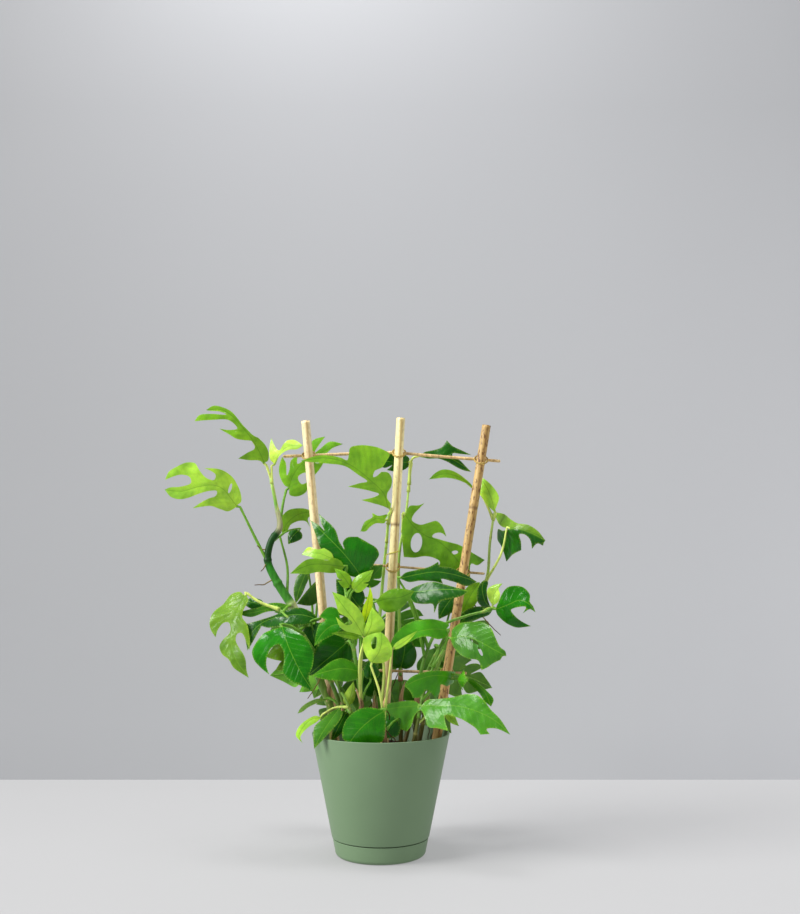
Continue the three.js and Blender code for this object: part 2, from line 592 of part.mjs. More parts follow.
    one: "whole", two: "whole", wide: 0.8, turn: 14, arch: 5, droop: 4, wave: 1,
  },
  lip: {
    stem: "pot_front", from: 168, base: [4, 180, -72], tip: [-42, 138, -72],
    rib: [[-12, 170], [-30, 154]],
    one: [[-8, 184], [-24, 184], [-38, 177], [-48, 164], [-50, 146]],
    two: [[6, 170], [6, 156], [2, 142], [-16, 136], [-32, 136]],
    turn: -4, arch: 6, droop: 5, wave: 1,
  },
  lip_right: {
    stem: "centre_front", from: 160, base: [20, 168, -44], tip: [-8, 146, -52],
    one: "whole", two: "whole", wide: 0.9, turn: 10, arch: 3, droop: 3, wave: 1,
  },
  drape: {
    stem: "pot_front", from: 184, base: [-55, 183, -52], tip: [-87, 132, -62],
    rib: [[-66, 168], [-78, 150]],
    one: [[-62, 181], [-75, 171], [-87, 160], [-88, 146]],
    two: [[-50, 178], [-55, 166], [-64, 156], [-76, 143]],
    turn: 10, arch: 5, droop: 4, wave: 1,
  },
  drape_dark: {
    stem: "pot_front", from: 172, base: [-46, 178, -38], tip: [-64, 142, -42],
    one: "whole", two: "whole", wide: 0.5, turn: -12, arch: 3, droop: 3, wave: 1,
  },
  hook: {
    stem: "pot_front", from: 192, base: [-79, 172, -40], tip: [-102, 139, -50],
    rib: [[-92, 169], [-104, 156], [-107, 147]],
    one: [[-86, 174], [-97, 169], [-107, 160], [-111, 149]],
    two: [[-84, 166], [-94, 160], [-103, 151], [-105, 146]],
    turn: 6, arch: 3, droop: 2, wave: 0,
  },
  sickle: {
    stem: "left_low", from: 190, base: [-74, 195, -28], tip: [-109, 177, -36],
    one: [[-84, 196], [-98, 190], [-106, 183]],
    two: [[-82, 191], [-95, 185], [-103, 179]],
    rib: [[-84, 193], [-97, 187]],
    turn: 4, arch: 2, droop: 1, wave: 0,
  },
  light_strip: {
    stem: "pot_front", from: 186, base: [-44, 189, -44], tip: [-36, 218, -46],
    one: "whole", two: "whole", wide: 0.5, turn: 14, arch: 3, droop: 2, wave: 1,
  },
};

// Leaves on the far side of the plant, which all turn their upper faces away from the viewer:
// [stem, from, base, tip, first half, second half, width over length, turn]
const FAR_LEAVES = [
  ["back_left", 292, [-96, 300, 84], [-150, 262, 128], "two_cut", "three_cut", 0.85, 165],
  ["back_left", 262, [-66, 268, 88], [-88, 196, 124], "three_cut", "two_cut", 0.85, 190],
  ["back_left", 230, [-74, 236, 66], [-146, 226, 84], "two_cut", "one_cut", 0.75, 172],
  ["back_left", 205, [-46, 196, 70], [-78, 150, 112], "one_cut", "two_cut", 0.8, 184],
  ["back_mid", 288, [-8, 302, 98], [-62, 262, 142], "three_cut", "two_cut", 0.85, 172],
  ["back_mid", 284, [10, 304, 96], [58, 262, 138], "two_cut", "three_cut", 0.85, 188],
  ["back_mid", 240, [-14, 240, 100], [-34, 170, 136], "two_cut", "two_cut", 0.8, 186],
  ["back_mid", 214, [8, 216, 92], [30, 146, 128], "three_cut", "one_cut", 0.8, 176],
  ["back_right", 280, [98, 292, 94], [148, 262, 132], "three_cut", "two_cut", 0.85, 184],
  ["back_right", 256, [72, 262, 98], [104, 196, 130], "two_cut", "three_cut", 0.85, 172],
  ["back_right", 230, [84, 232, 78], [146, 210, 96], "one_cut", "two_cut", 0.75, 190],
  ["back_right", 206, [52, 196, 92], [92, 152, 130], "two_cut", "one_cut", 0.8, 180],
  ["centre_back", 250, [14, 262, 56], [-30, 206, 56], "one_cut", "two_cut", 0.75, 150],
  ["centre_tall", 300, [-22, 318, 52], [-50, 276, 74], "one_cut", "one_cut", 0.7, 160],
];
const FAR_BEND = { arch: 9, droop: 6, wave: 3 };

// Solids

const wasm = await Module();
wasm.setup();

function solidOf(geometry) {
  const bare = geometry.clone();
  bare.deleteAttribute("normal");
  bare.deleteAttribute("uv");
  const merged = mergeVertices(bare, 1e-4);
  return new wasm.Manifold(new wasm.Mesh({
    numProp: 3,
    vertProperties: merged.attributes.position.array,
    triVerts: new Uint32Array(merged.index.array),
  }));
}

function geometryOf(solid) {
  const mesh = solid.getMesh();
  const geometry = new THREE.BufferGeometry();
  geometry.setAttribute("position", new THREE.BufferAttribute(mesh.vertProperties, 3));
  geometry.setIndex(new THREE.BufferAttribute(mesh.triVerts, 1));
  geometry.computeVertexNormals();
  return geometry;
}

function meshFrom(points, faces) {
  const geometry = new THREE.BufferGeometry().setFromPoints(points);
  geometry.setIndex(faces.flat());
  return geometry;
}

// A closed tube through points, with a radius for each and a flat cap at both ends.
function tube(points, radii, sides) {
  const rings = [];
  let across = null;
  points.forEach((point, i) => {
    const ahead = points[Math.min(i + 1, points.length - 1)];
    const behind = points[Math.max(i - 1, 0)];
    const along = ahead.clone().sub(behind).normalize();
    if (!across) across = new THREE.Vector3(0, 1, 0);
    across.addScaledVector(along, -across.dot(along)).normalize();
    const other = along.clone().cross(across);
    for (let k = 0; k < sides; k++) {
      const angle = (2 * Math.PI * k) / sides;
      rings.push(point.clone()
        .addScaledVector(across, radii[i] * Math.cos(angle))
        .addScaledVector(other, radii[i] * Math.sin(angle)));
    }
  });
  const faces = [];
  const last = (points.length - 1) * sides;
  for (let ring = 0; ring < last; ring += sides)
    for (let k = 0; k < sides; k++) {
      const next = (k + 1) % sides;
      faces.push([ring + k, ring + next, ring + sides + next]);
      faces.push([ring + k, ring + sides + next, ring + sides + k]);
    }
  for (let k = 1; k < sides - 1; k++) {
    faces.push([0, k + 1, k]);
    faces.push([last, last + k, last + k + 1]);
  }
  return meshFrom(rings, faces);
}

function mix(from, to, share) {
  return from + (to - from) * share;
}

// Leaves

function frameOf(leaf) {
  const base = seen(leaf.base);
  const chord = seen(leaf.tip).sub(base);
  const length = chord.length();
  const along = chord.normalize();
  const face = EYE.clone().sub(base).normalize();
  face.addScaledVector(along, -face.dot(along)).normalize();
  const side = along.clone().cross(face);
  const roll = THREE.MathUtils.degToRad(leaf.turn);
  const up = face.clone().multiplyScalar(Math.cos(roll)).addScaledVector(side, Math.sin(roll));
  const out = along.clone().cross(up);
  return { base, length, along, up, out, leaf };
}

// How far the blade stands off its chord's plane at s along the midrib and r out from it.
function rise({ length, leaf }, s, r) {
  const u = s / length;
  const v = r / (0.35 * length);
  const spread = (v * v) / (1 + 0.5 * v * v);
  const wave = leaf.wave * Math.sin(2 * Math.PI * (1.6 * u + 0.1 * leaf.arch)) * spread;
  return leaf.arch * 4 * u * (1 - u) - leaf.droop * spread + wave;
}

function bladePoint(frame, s, r) {
  return frame.base.clone()
    .addScaledVector(frame.along, s)
    .addScaledVector(frame.out, r)
    .addScaledVector(frame.up, rise(frame, s, r));
}

// Where the line of sight to a place on the ladder's plane meets the bent blade.
function onBlade(frame, [across, up]) {
  const sight = new THREE.Vector3(across, 0, up).sub(EYE);
  const reach = frame.base.clone().sub(EYE).dot(frame.up);
  const slope = sight.dot(frame.up);
  let s = 0;
  let r = 0;
  for (let round = 0; round < 6; round++) {
    const off = sight.clone().multiplyScalar((reach + rise(frame, s, r)) / slope).add(EYE)
      .sub(frame.base);
    s = off.dot(frame.along);
    r = off.dot(frame.out);
  }
  return new THREE.Vector2(s, r);
}

function marginOf(frame, half, side) {
  if (typeof half !== "string") return half.map((place) => onBlade(frame, place));
  const halfWidth = (frame.leaf.wide * frame.length) / 2;
  return HALVES[half].map(([u, v]) => new THREE.Vector2(u * frame.length, side * v * halfWidth));
}

// Leaves out the points that lie close to the line between their neighbours, but no pointed end.
function thinned(points) {
  if (points.length < 3) return points;
  const [from, to] = [points[0], points.at(-1)];
  const line = to.clone().sub(from);
  let far = 0;
  let most = -1;
  points.slice(1, -1).forEach((point, i) => {
    const off = Math.abs(point.clone().sub(from).cross(line)) / line.length();
    if (off > most) [far, most] = [i + 1, off];
  });
  if (most < MARGIN_TOLERANCE) return [from, to];
  return [...thinned(points.slice(0, far + 1)), ...thinned(points.slice(far)).slice(1)];
}

// An eye in the blade: a six-cornered oval.
function eyeOf(frame, [across, up, length, width, tilt]) {
  const turn = THREE.MathUtils.degToRad(tilt);
  const corners = [];
  for (let k = 0; k < 6; k++) {
    const angle = (2 * Math.PI * k) / 6;
    const a = (Math.cos(angle) * length) / 2;
    const b = (Math.sin(angle) * width) / 2;
    corners.push(onBlade(frame, [
      across + a * Math.cos(turn) - b * Math.sin(turn),
      up + a * Math.sin(turn) + b * Math.cos(turn),
    ]));
  }
  return corners;
}

function inside(point, polygon) {
  let odd = false;
  polygon.forEach((a, i) => {
    const b = polygon[(i + 1) % polygon.length];
    if (a.y > point.y !== b.y > point.y
      && point.x < a.x + ((point.y - a.y) / (b.y - a.y)) * (b.x - a.x)) odd = !odd;
  });
  return odd;
}

// The blade's flat corners and its triangles, which both faces share. The corners stand in the
// blade's own plane; the first two are the ends of its narrow base edge.
function bladePattern(frame) {
  const { leaf, length } = frame;
  const ribPlaces = length < SHORT_BLADE ? [0.5] : [0.3, 0.65];
  const rib = leaf.rib
    ? leaf.rib.map((place) => onBlade(frame, place))
    : ribPlaces.map((u) => new THREE.Vector2(u * length, RIB_SWAY * length * Math.sin(Math.PI * u)));
  const tip = new THREE.Vector2(length, 0);
  const neck = [new THREE.Vector2(0, -NECK_WIDTH / 2), new THREE.Vector2(0, NECK_WIDTH / 2)];
  const eyes = (leaf.holes || []).map((hole) => eyeOf(frame, hole));
  const triangles = [[neck[0], neck[1], rib[0]]];
  const middle = (points) => points.reduce((sum, { y }) => sum + y, 0) / points.length;
  const margins = [marginOf(frame, leaf.one, -1), marginOf(frame, leaf.two, 1)]
    .toSorted((a, b) => middle(a) - middle(b));
  for (const k of [0, 1]) {
    const polygon = [...thinned([neck[k], ...margins[k], tip]), ...rib.toReversed()];
    const holes = eyes.filter((eye) => inside(eye[0], polygon));
    const corners = [...polygon, ...holes.flat()];
    for (const triangle of THREE.ShapeUtils.triangulateShape(polygon, holes))
      triangles.push(triangle.map((i) => corners[i]));
  }
  const flat = [...neck];
  const numberOf = (point) => {
    const known = flat.findIndex((other) => other.distanceTo(point) < 1e-4);
    return known < 0 ? flat.push(point) - 1 : known;
  };
  const faces = triangles.map(([a, b, c]) => {
    const turned = b.clone().sub(a).cross(c.clone().sub(a)) < 0;
    return [a, turned ? c : b, turned ? b : c].map(numberOf);
  });
  return { flat, faces };
}

// The petiole's way from the stem to just under the blade's base.
function petioleWay(frame, curve) {
  const { leaf, along, up } = frame;
  const start = atHeight(curve, leaf.from);
  const neck = bladePoint(frame, 0, 0).addScaledVector(along, -NECK_REACH)
    .addScaledVector(up, -NECK_REACH / 3);
  const reach = neck.distanceTo(start);
  const middle = leaf.via
    ? seen(leaf.via)
    : start.clone().lerp(neck, 0.55).add(new THREE.Vector3(0, 0, 0.1 * reach));
  const steps = reach < SHORT_PETIOLE ? 2 : 4;
  return new THREE.CatmullRomCurve3([start, middle, neck]).getPoints(steps);
}

// A blade with its petiole: the petiole's last ring is the blade's base edge, seen end on.
function leafSolid(frame, curve) {
  const { flat, faces } = bladePattern(frame);
  const count = flat.length;
  const half = BLADE_THICKNESS / 2;
  const points = [half, -half].flatMap((shift) => flat.map(({ x, y }) =>
    bladePoint(frame, x, y).addScaledVector(frame.up, shift)));
  const edges = new Set(faces.flatMap(([a, b, c]) => [a + "," + b, b + "," + c, c + "," + a]));
  const solidFaces = faces.flatMap(([a, b, c]) => [[a, c, b], [a + count, b + count, c + count]]);
  for (const edge of edges) {
    const [a, b] = edge.split(",").map(Number);
    if (edges.has(b + "," + a) || a + b === 1) continue;
    solidFaces.push([b, a + count, a], [b, b + count, a + count]);
  }
  const way = petioleWay(frame, curve);
  const corners = [1, 1 + count, count, 0];
  const rings = [];
  let across = frame.up.clone();
  for (let i = way.length - 1; i >= 0; i--) {
    const ahead = i < way.length - 1 ? way[i + 1] : frame.base;
    const along = ahead.clone().sub(way[Math.max(i - 1, 0)]).normalize();
    across = across.clone().addScaledVector(along, -across.dot(along)).normalize();
    const other = along.clone().cross(across);
    const radius = PETIOLE_RADIUS * mix(...PETIOLE_TAPER, i / (way.length - 1));
    rings.unshift(corners.map((_, k) => {
      const angle = (Math.PI * (2 * k + 1)) / 4;
      return points.push(way[i].clone()
        .addScaledVector(across, radius * Math.cos(angle))
        .addScaledVector(other, radius * Math.sin(angle))) - 1;
    }));
  }
  const [a, b, c, d] = rings[0];
  solidFaces.push([a, c, b], [a, d, c]);
  rings.push(corners);
  for (let i = 1; i < rings.length; i++)
    for (let k = 0; k < 4; k++) {
      const next = (k + 1) % 4;
      const [low, high] = [rings[i - 1], rings[i]];
      solidFaces.push([low[k], low[next], high[next]], [low[k], high[next], high[k]]);
    }
  return solidOf(meshFrom(points, solidFaces));
}

// A stem's radius at a share of its way, from the radii listed at even steps along it.
function thickness(radii, share) {
  const place = share * (radii.length - 1);
  const step = Math.min(Math.floor(place), radii.length - 2);
  return mix(radii[step], radii[step + 1], place - step);
}

function stemCurve({ foot, path }, top) {
  const buried = new THREE.Vector3(foot[0], foot[1], STEM_FOOT);
  const surface = new THREE.Vector3(foot[0], foot[1], top + STEM_RISE);
  return [buried, new THREE.CatmullRomCurve3([surface, ...path.map(seen)])];
}

// The point of a stem at a height, on its way up.
function atHeight(curve, height) {
  const steps = 200;
  for (let i = 0; i <= steps; i++) {
    const point = curve.getPoint(i / steps);
    if (point.z >= height) return point;
  }
  return curve.getPoint(1);
}

function rootSolid(curve, [end, height]) {
  const start = atHeight(curve, height);
  const tip = seen(end);
  const middle = start.clone().lerp(tip, 0.5).add(new THREE.Vector3(0, 0, -ROOT_SAG));
  const bend = new THREE.QuadraticBezierCurve3(start, middle, tip);
  return solidOf(tube(bend.getPoints(ROOT_RADII.length - 1), ROOT_RADII, ROOT_SIDES));
}

function stemSolid(name, leaves, soilTop) {
  const stem = STEMS[name];
  const [buried, curve] = stemCurve(stem, soilTop);
  const steps = 2 * stem.path.length;
  const way = curve.getPoints(steps);
  const radii = way.map((_, i) => thickness(stem.radius, i / steps));
  const stalk = solidOf(tube([buried, ...way], [stem.radius[0], ...radii], STEM_SIDES));
  const parts = [stalk, ...stem.roots.map((root) => rootSolid(curve, root))];
  for (const leaf of leaves) parts.push(leafSolid(frameOf(leaf), curve));
  return wasm.Manifold.union(parts);
}

// Ladder

const soilTop = POT_TOP - SOIL_DEPTH;

// Each stake: its axis across at the soil's height, and its top [across, up].
const STAKES = {
  left: { foot: -60, top: [-104, 566], knots: [0.33, 0.62, 0.9] },
  middle: { foot: 3, top: [26, 570], knots: [0.3, 0.72] },
  right: { foot: 71, top: [143, 560], knots: [0.28, 0.52, 0.78] },
};

function stakeAxis({ foot, top }) {
  const head = new THREE.Vector3(top[0], STAKE_PLANE, top[1]);
  const ground = new THREE.Vector3(foot, STAKE_PLANE, soilTop);
  const share = (soilTop - STAKE_FOOT) / (top[1] - soilTop);
  return [ground.clone().addScaledVector(head.clone().sub(ground), -share), head];
}

function stakeSolid(stake) {
  const [foot, head] = stakeAxis(stake);
  const stops = [[0, 1], [1, STAKE_TAPER]];
  for (const knot of stake.knots)
    stops.push([knot - KNOT_REACH, KNOT_PINCH], [knot, KNOT_SWELL], [knot + KNOT_REACH, KNOT_PINCH]);
  stops.sort((a, b) => a[0] - b[0]);
  const points = stops.map(([share]) => foot.clone().lerp(head, share));
  return solidOf(tube(points, stops.map(([, swell]) => STAKE_RADIUS * swell), STAKE_SIDES));
}

// Each bar: the places [across, up] that it passes, and its thickness beside the top bar's.
const BARS = {
  top: { way: [[-135, 518.5], [-46, 522], [18, 524], [66, 519.5], [162, 512]], size: 1 },
  middle: { way: [[-86, 376], [26, 368], [139, 359]], size: 0.8 },
  low: { way: [[-74, 232], [20, 230], [114, 227]], size: 0.9 },
};

function barAxis({ way, size }) {
  const behind = STAKE_PLANE + STAKE_RADIUS * KNOT_SWELL + GAP + BAR_RADIUS * size;
  return way.map(([across, up]) => new THREE.Vector3(across, behind, up));
}

// A bar's height where it passes a place across.
function barHeight(points, across) {
  const next = Math.max(points.findIndex((point) => point.x > across), 1);
  const [from, to] = [points[next - 1], points[next]];
  return mix(from.z, to.z, (across - from.x) / (to.x - from.x));
}

function barSolid(bar) {
  const points = barAxis(bar);
  return solidOf(tube(points, points.map(() => BAR_RADIUS * bar.size), BAR_SIDES));
}

// A wire loop round a stake and the bar behind it, where they cross.
function tieSolid(stake, bar) {
  const [foot, head] = stakeAxis(stake);
  const points = barAxis(bar);
  let share = 0.5;
  for (let round = 0; round < 4; round++) {
    const across = mix(foot.x, head.x, share);
    share = (barHeight(points, across) - foot.z) / (head.z - foot.z);
  }
  const place = foot.clone().lerp(head, share);
  const front = STAKE_PLANE - STAKE_RADIUS - GAP - TIE_WIRE;
  const back = points[0].y + BAR_RADIUS * bar.size + GAP + TIE_WIRE;
  const halfDepth = (back - front) / 2 + TIE_PLAY;
  const halfWidth = STAKE_RADIUS * KNOT_SWELL + GAP + 3 * TIE_WIRE;
  const ring = new THREE.TorusGeometry(1, TIE_WIRE, TIE_SIDES, TIE_STEPS);
  const spots = ring.attributes.position;
  for (let i = 0; i < spots.count; i++) {
    const u = Math.atan2(spots.getY(i), spots.getX(i));
    const outward = Math.hypot(spots.getX(i), spots.getY(i)) - 1;
    const rise = spots.getZ(i);
    const x = (halfWidth + outward) * Math.cos(u);
    const y = (halfDepth + outward) * Math.sin(u);
    spots.setXYZ(i, x, y, rise + TIE_TILT * y);
  }
  ring.translate(place.x, (front + back) / 2, place.z);
  return solidOf(ring);
}

// Pot, saucer and soil

function lathe(profile) {
  const points = profile.map(([radius, height]) => new THREE.Vector2(radius, height));
  return new THREE.LatheGeometry(points, ROUND_SIDES).rotateX(Math.PI / 2);
}

const wallSlope = (RIM_RADIUS - SEAM_RADIUS) / (POT_TOP - SEAM_HEIGHT);
const potFloorUnder = SAUCER_FLOOR + GAP;
const potFloorTop = potFloorUnder + POT_FLOOR;

function potRadius(height) {
  return SEAM_RADIUS + (height - SEAM_HEIGHT) * wallSlope;
}

function potSolid() {
  const step = SEAM_HEIGHT + SEAM_GAP;
  const body = solidOf(lathe([
    [0, potFloorUnder],
    [FOOT_RADIUS - 1, potFloorUnder],
    [FOOT_RADIUS, potFloorUnder + 1],
    [FOOT_RADIUS + FOOT_DRAFT, step],
    [potRadius(step), step],
    [RIM_RADIUS, POT_TOP - RIM_ROUND],
    [RIM_RADIUS - RIM_ROUND, POT_TOP],
    [RIM_RADIUS - POT_WALL + RIM_ROUND / 2, POT_TOP],
    [RIM_RADIUS - POT_WALL, POT_TOP - RIM_ROUND],
    [potRadius(step) - POT_WALL - 1, step + POT_WALL],
    [FOOT_RADIUS - POT_WALL, potFloorTop],
    [0, potFloorTop],
  ]));
  const drains = [];
  for (let k = 0; k < DRAIN_COUNT; k++) {
    const angle = (2 * Math.PI * k) / DRAIN_COUNT;
    const drain = new THREE.CylinderGeometry(DRAIN_RADIUS, DRAIN_RADIUS, 3 * POT_FLOOR, DRAIN_SIDES);
    drain.rotateX(Math.PI / 2);
    drain.translate(DRAIN_CIRCLE * Math.cos(angle), DRAIN_CIRCLE * Math.sin(angle), potFloorTop);
    drains.push(solidOf(drain));
  }
  return body.subtract(wasm.Manifold.union(drains));
}

function saucerSolid() {
  const lip = SEAM_RADIUS - 0.6;
  const base = SAUCER_BASE_RADIUS;
  return solidOf(lathe([
    [0, 0],
    [base - SAUCER_CORNER, 0],
    [base - SAUCER_CORNER * 0.5, SAUCER_CORNER * 0.134],
    [base - SAUCER_CORNER * 0.134, SAUCER_CORNER * 0.5],
    [base, SAUCER_CORNER],
    [lip, SEAM_HEIGHT - 0.5],
    [lip - 0.5, SEAM_HEIGHT],
    [lip - SAUCER_WALL, SEAM_HEIGHT],
    [base - SAUCER_WALL, SAUCER_CORNER],
    [FOOT_RADIUS + GAP, SAUCER_FLOOR],
    [0, SAUCER_FLOOR],
  ]));
}

// A hole in the soil round a foot that stands from one point to another.
function footHole(from, to, radius, sides) {
  const clear = (radius + GAP) / Math.cos(Math.PI / sides);
  const down = from.clone().sub(to).normalize();
  const low = from.clone().addScaledVector(down, GAP);
  const high = to.clone().addScaledVector(down, -HOLE_REACH);
  return solidOf(tube([low, high], [clear, clear], sides));
}

function soilSolid() {
  const inner = RIM_RADIUS - POT_WALL - SOIL_DEPTH * wallSlope - GAP - SOIL_EASE;
  const floor = potFloorTop + GAP;
  const step = SEAM_HEIGHT + SEAM_GAP + POT_WALL + GAP;
  const body = lathe([
    [0, floor],
    [FOOT_RADIUS - POT_WALL - 2 * GAP - SOIL_EASE, floor],
    [potRadius(step) - POT_WALL - 1 - 2 * GAP, step],
    [inner, soilTop],
    ...SOIL_RINGS.map((share) => [inner * share, soilTop]),
    [0, soilTop],
  ]);
  const spots = body.attributes.position;
  for (let i = 0; i < spots.count; i++) {
    const [x, y, z] = [spots.getX(i), spots.getY(i), spots.getZ(i)];
    if (z < soilTop - 0.01 || Math.hypot(x, y) > 0.9 * inner) continue;
    const lumps = Math.sin(x / 9) * Math.cos(y / 11) + 0.6 * Math.sin(x / 5 + y / 6);
    spots.setZ(i, z + SOIL_RELIEF * lumps);
  }
  const holes = Object.values(STEMS).map(({ foot, radius }) => footHole(
    new THREE.Vector3(foot[0], foot[1], STEM_FOOT),
    new THREE.Vector3(foot[0], foot[1], soilTop),
    radius[0], HOLE_SIDES));
  for (const stake of Object.values(STAKES)) {
    const [foot, head] = stakeAxis(stake);
    const above = foot.clone().lerp(head, (soilTop - STAKE_FOOT) / (head.z - STAKE_FOOT));
    holes.push(footHole(foot, above, STAKE_RADIUS * 1.04, STAKE_SIDES));
  }
  return solidOf(body).subtract(wasm.Manifold.union(holes));
}

// Scene graph

const potGreen = new THREE.MeshStandardMaterial({ color: 0x7f9f80, roughness: 0.6 });
const earth = new THREE.MeshStandardMaterial({ color: 0x3a2c21, roughness: 0.95 });
const bamboo = new THREE.MeshStandardMaterial({ color: 0xd9c08a, roughness: 0.55 });
const wire = new THREE.MeshStandardMaterial({ color: 0xb9a15a, roughness: 0.5 });
const leafGreen = new THREE.MeshStandardMaterial({ color: 0x4c8a2e, roughness: 0.45 });

const plant = new THREE.Group();

function add(name, solid, material) {
  const mesh = new THREE.Mesh(geometryOf(solid), material);
  mesh.name = name;
  plant.add(mesh);
}

add("saucer", saucerSolid(), potGreen);
add("pot", potSolid(), potGreen);
add("soil", soilSolid(), earth);
for (const [name, stake] of Object.entries(STAKES)) add("stake_" + name, stakeSolid(stake), bamboo);
for (const [name, bar] of Object.entries(BARS)) add("crossbar_" + name, barSolid(bar), bamboo);
for (const [bar, stake] of [["top", "left"], ["top", "middle"], ["top", "right"],
  ["middle", "middle"], ["middle", "right"], ["low", "left"], ["low", "right"]])
  add("tie_" + bar + "_" + stake, tieSolid(STAKES[stake], BARS[bar]), wire);

const farLeaves = FAR_LEAVES.map(([stem, from, base, tip, one, two, wide, turn]) => (
  { stem, from, base, tip, one, two, wide, turn, ...FAR_BEND }));
const everyLeaf = [...Object.values(LEAVES), ...farLeaves];
for (const name of Object.keys(STEMS)) {
  const leaves = everyLeaf.filter((leaf) => leaf.stem === name);
  add("stem_" + name, stemSolid(name, leaves, soilTop), leafGreen);
}

export default plant;
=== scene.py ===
"""A mini monstera on a bamboo ladder, in a sage-green pot with a saucer."""

import math
from itertools import combinations

import bpy
import numpy as np
from mathutils import Matrix, Vector, noise
from mathutils.geometry import delaunay_2d_cdt


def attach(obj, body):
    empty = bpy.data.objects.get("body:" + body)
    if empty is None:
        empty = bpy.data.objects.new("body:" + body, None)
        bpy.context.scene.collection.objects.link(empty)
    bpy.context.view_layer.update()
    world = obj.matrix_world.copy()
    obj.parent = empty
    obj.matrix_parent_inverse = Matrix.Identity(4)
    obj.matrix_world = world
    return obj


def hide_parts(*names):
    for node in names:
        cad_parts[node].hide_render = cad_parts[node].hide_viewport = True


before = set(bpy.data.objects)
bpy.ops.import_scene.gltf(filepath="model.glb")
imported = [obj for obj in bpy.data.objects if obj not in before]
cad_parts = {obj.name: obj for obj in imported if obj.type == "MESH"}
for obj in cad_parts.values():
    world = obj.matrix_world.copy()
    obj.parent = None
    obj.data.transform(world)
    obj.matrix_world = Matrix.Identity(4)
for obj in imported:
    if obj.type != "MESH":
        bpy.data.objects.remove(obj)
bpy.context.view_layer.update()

MM = 0.001
rng = np.random.default_rng(7)
noise.seed_set(7)  # or else noise_vector differs from run to run

# Where the photograph was taken from, in millimetres, and how far up the camera looks, in degrees
EYE = np.array([25.0, -1385.0, 350.0])
PITCH_UP = 6.8

# Sizes of the pot, the saucer and the soil, in millimetres, as in the solids
RIM_RADIUS = 90
POT_TOP = 153
SEAM_RADIUS = 62.5
SEAM_HEIGHT = 22
SEAM_GAP = 1.2
POT_WALL = 2.6
POT_FLOOR = 3
FOOT_RADIUS = 54.5
FOOT_DRAFT = 3
SAUCER_BASE_RADIUS = 58.5
SAUCER_CORNER = 6
SAUCER_WALL = 2.2
SAUCER_FLOOR = 2.5
GAP = 0.3
SOIL_TOP = 130
DRAIN_RADIUS = 4
DRAIN_CIRCLE = 32
DRAIN_COUNT = 6
WALL_SLOPE = (RIM_RADIUS - SEAM_RADIUS) / (POT_TOP - SEAM_HEIGHT)
POT_UNDER = SAUCER_FLOOR + GAP
POT_FLOOR_TOP = POT_UNDER + POT_FLOOR

# Sizes of the ladder and the stems, as in the solids
STAKE_PLANE = 12
STAKE_RADIUS = 6.3
STAKE_FOOT = 66
KNOT_SWELL = 1.08
BAR_RADIUS = 2.1
TIE_WIRE = 0.7
TIE_TILT = 0.62
STEM_FOOT = 92
PETIOLE_RADIUS = 1.65
NECK_REACH = 5

# Finer than the solids: how closely the points stand
GRID_STEP = 2.2
MARGIN_STEP = 1.6
HOLE_SIDES = 20
POT_SIDES = 144

# A blade: its thickness, the usual half width as a share of its length, the waves along it, its side
# veins (their spacing, slant and shift from side to side), and the height of its fine relief
BLADE_THICKNESS = 0.5
HALF_WIDTH = 0.35
WAVES = 1.6
VEIN_SPACING = 9
VEIN_SLANT = 0.8
VEIN_SHIFT = 0.25
QUILT = 0.35
RIB_GROOVE = 0.25
RIPPLE = 1.2
CURL = 5.0
# The leaf material measures the blade in tens of millimetres. The midrib fades out between these two.
BLADE_UNIT = 10
RIB_HALF = (0.02, 0.065)

# Stems: the straight length above the soil, the rings at the joints, and how far out a twig may end
STEM_RISE = 4.0
JOINT_STEP = 34
JOINT_SWELL = 0.16
TWIG_LIMIT = 76

# Canes: the groove under a knot, and the brown strip's place, width in radians and depth of colour
OUT_OF_ROUND = 0.008
STAKE_TAPER = 0.93
KNOT_DROP = 4.2
STRIP_TURN = 0.3
STRIP_WIDTH = 0.26
STRIP_SHADE = (0.34, 0.46, 0.62)
BAR_KNOTS = (0.22, 0.57, 0.86)
# A stake's cut top, as (height, share of the radius): a rounded lip, then the pith a little below it
CUT_TOP = [(0.15, 1.0), (0.5, 0.96), (0.6, 0.86), (0.35, 0.62), (-0.5, 0.5), (-1.4, 0.3)]
LOOP_RADIUS = 0.6
TWINE_HEIGHT = 387

# Soil: the height of its unevenness, and the bark chips on it with their sides' proportions
SOIL_RELIEF = 1.2
CHIP_COUNT = 620
CHIP_SHAPE = (1.0, 0.62, 0.4)

# Stage: its reach and the wall's place in metres, and how much the floor glows with painted light
STAGE_REACH = 6.0
WALL_AT = 0.5
FLOOR_PAINTED_GLOW = 0.29

# All the colours that follow are sRGB shares. The blades' tones: the upper face, and how rough it is.
TONES = {
    "bright": ((0.66, 0.8, 0.08), 0.36),
    "pale": ((0.62, 0.78, 0.3), 0.36),
    "lime": ((0.6, 0.8, 0.26), 0.36),
    "fresh": ((0.44, 0.65, 0.14), 0.34),
    "moss": ((0.37, 0.59, 0.12), 0.34),
    "mid": ((0.22, 0.51, 0.06), 0.32),
    "deep": ((0.06, 0.325, 0.015), 0.3),
    "rich": ((0.12, 0.44, 0.01), 0.32),
    "glossy": ((0.08, 0.4, 0.02), 0.14),
    "blue": ((0.23, 0.48, 0.11), 0.34),
    "grey": ((0.38, 0.54, 0.26), 0.4),
    "shade": ((0.19, 0.38, 0.12), 0.42),
    "olive": ((0.35, 0.52, 0.12), 0.38),
}
UNDERSIDE = (0.46, 0.64, 0.26)
MARGIN = (0.7, 0.8, 0.3)
SAP = (0.45, 0.65, 0.17)
# A blade's colour is multiplied by the first at its base and by the second at its tip
BASE_LIGHT = (1.25, 1.12, 1.1)
TIP_LIGHT = (0.92, 0.96, 0.9)
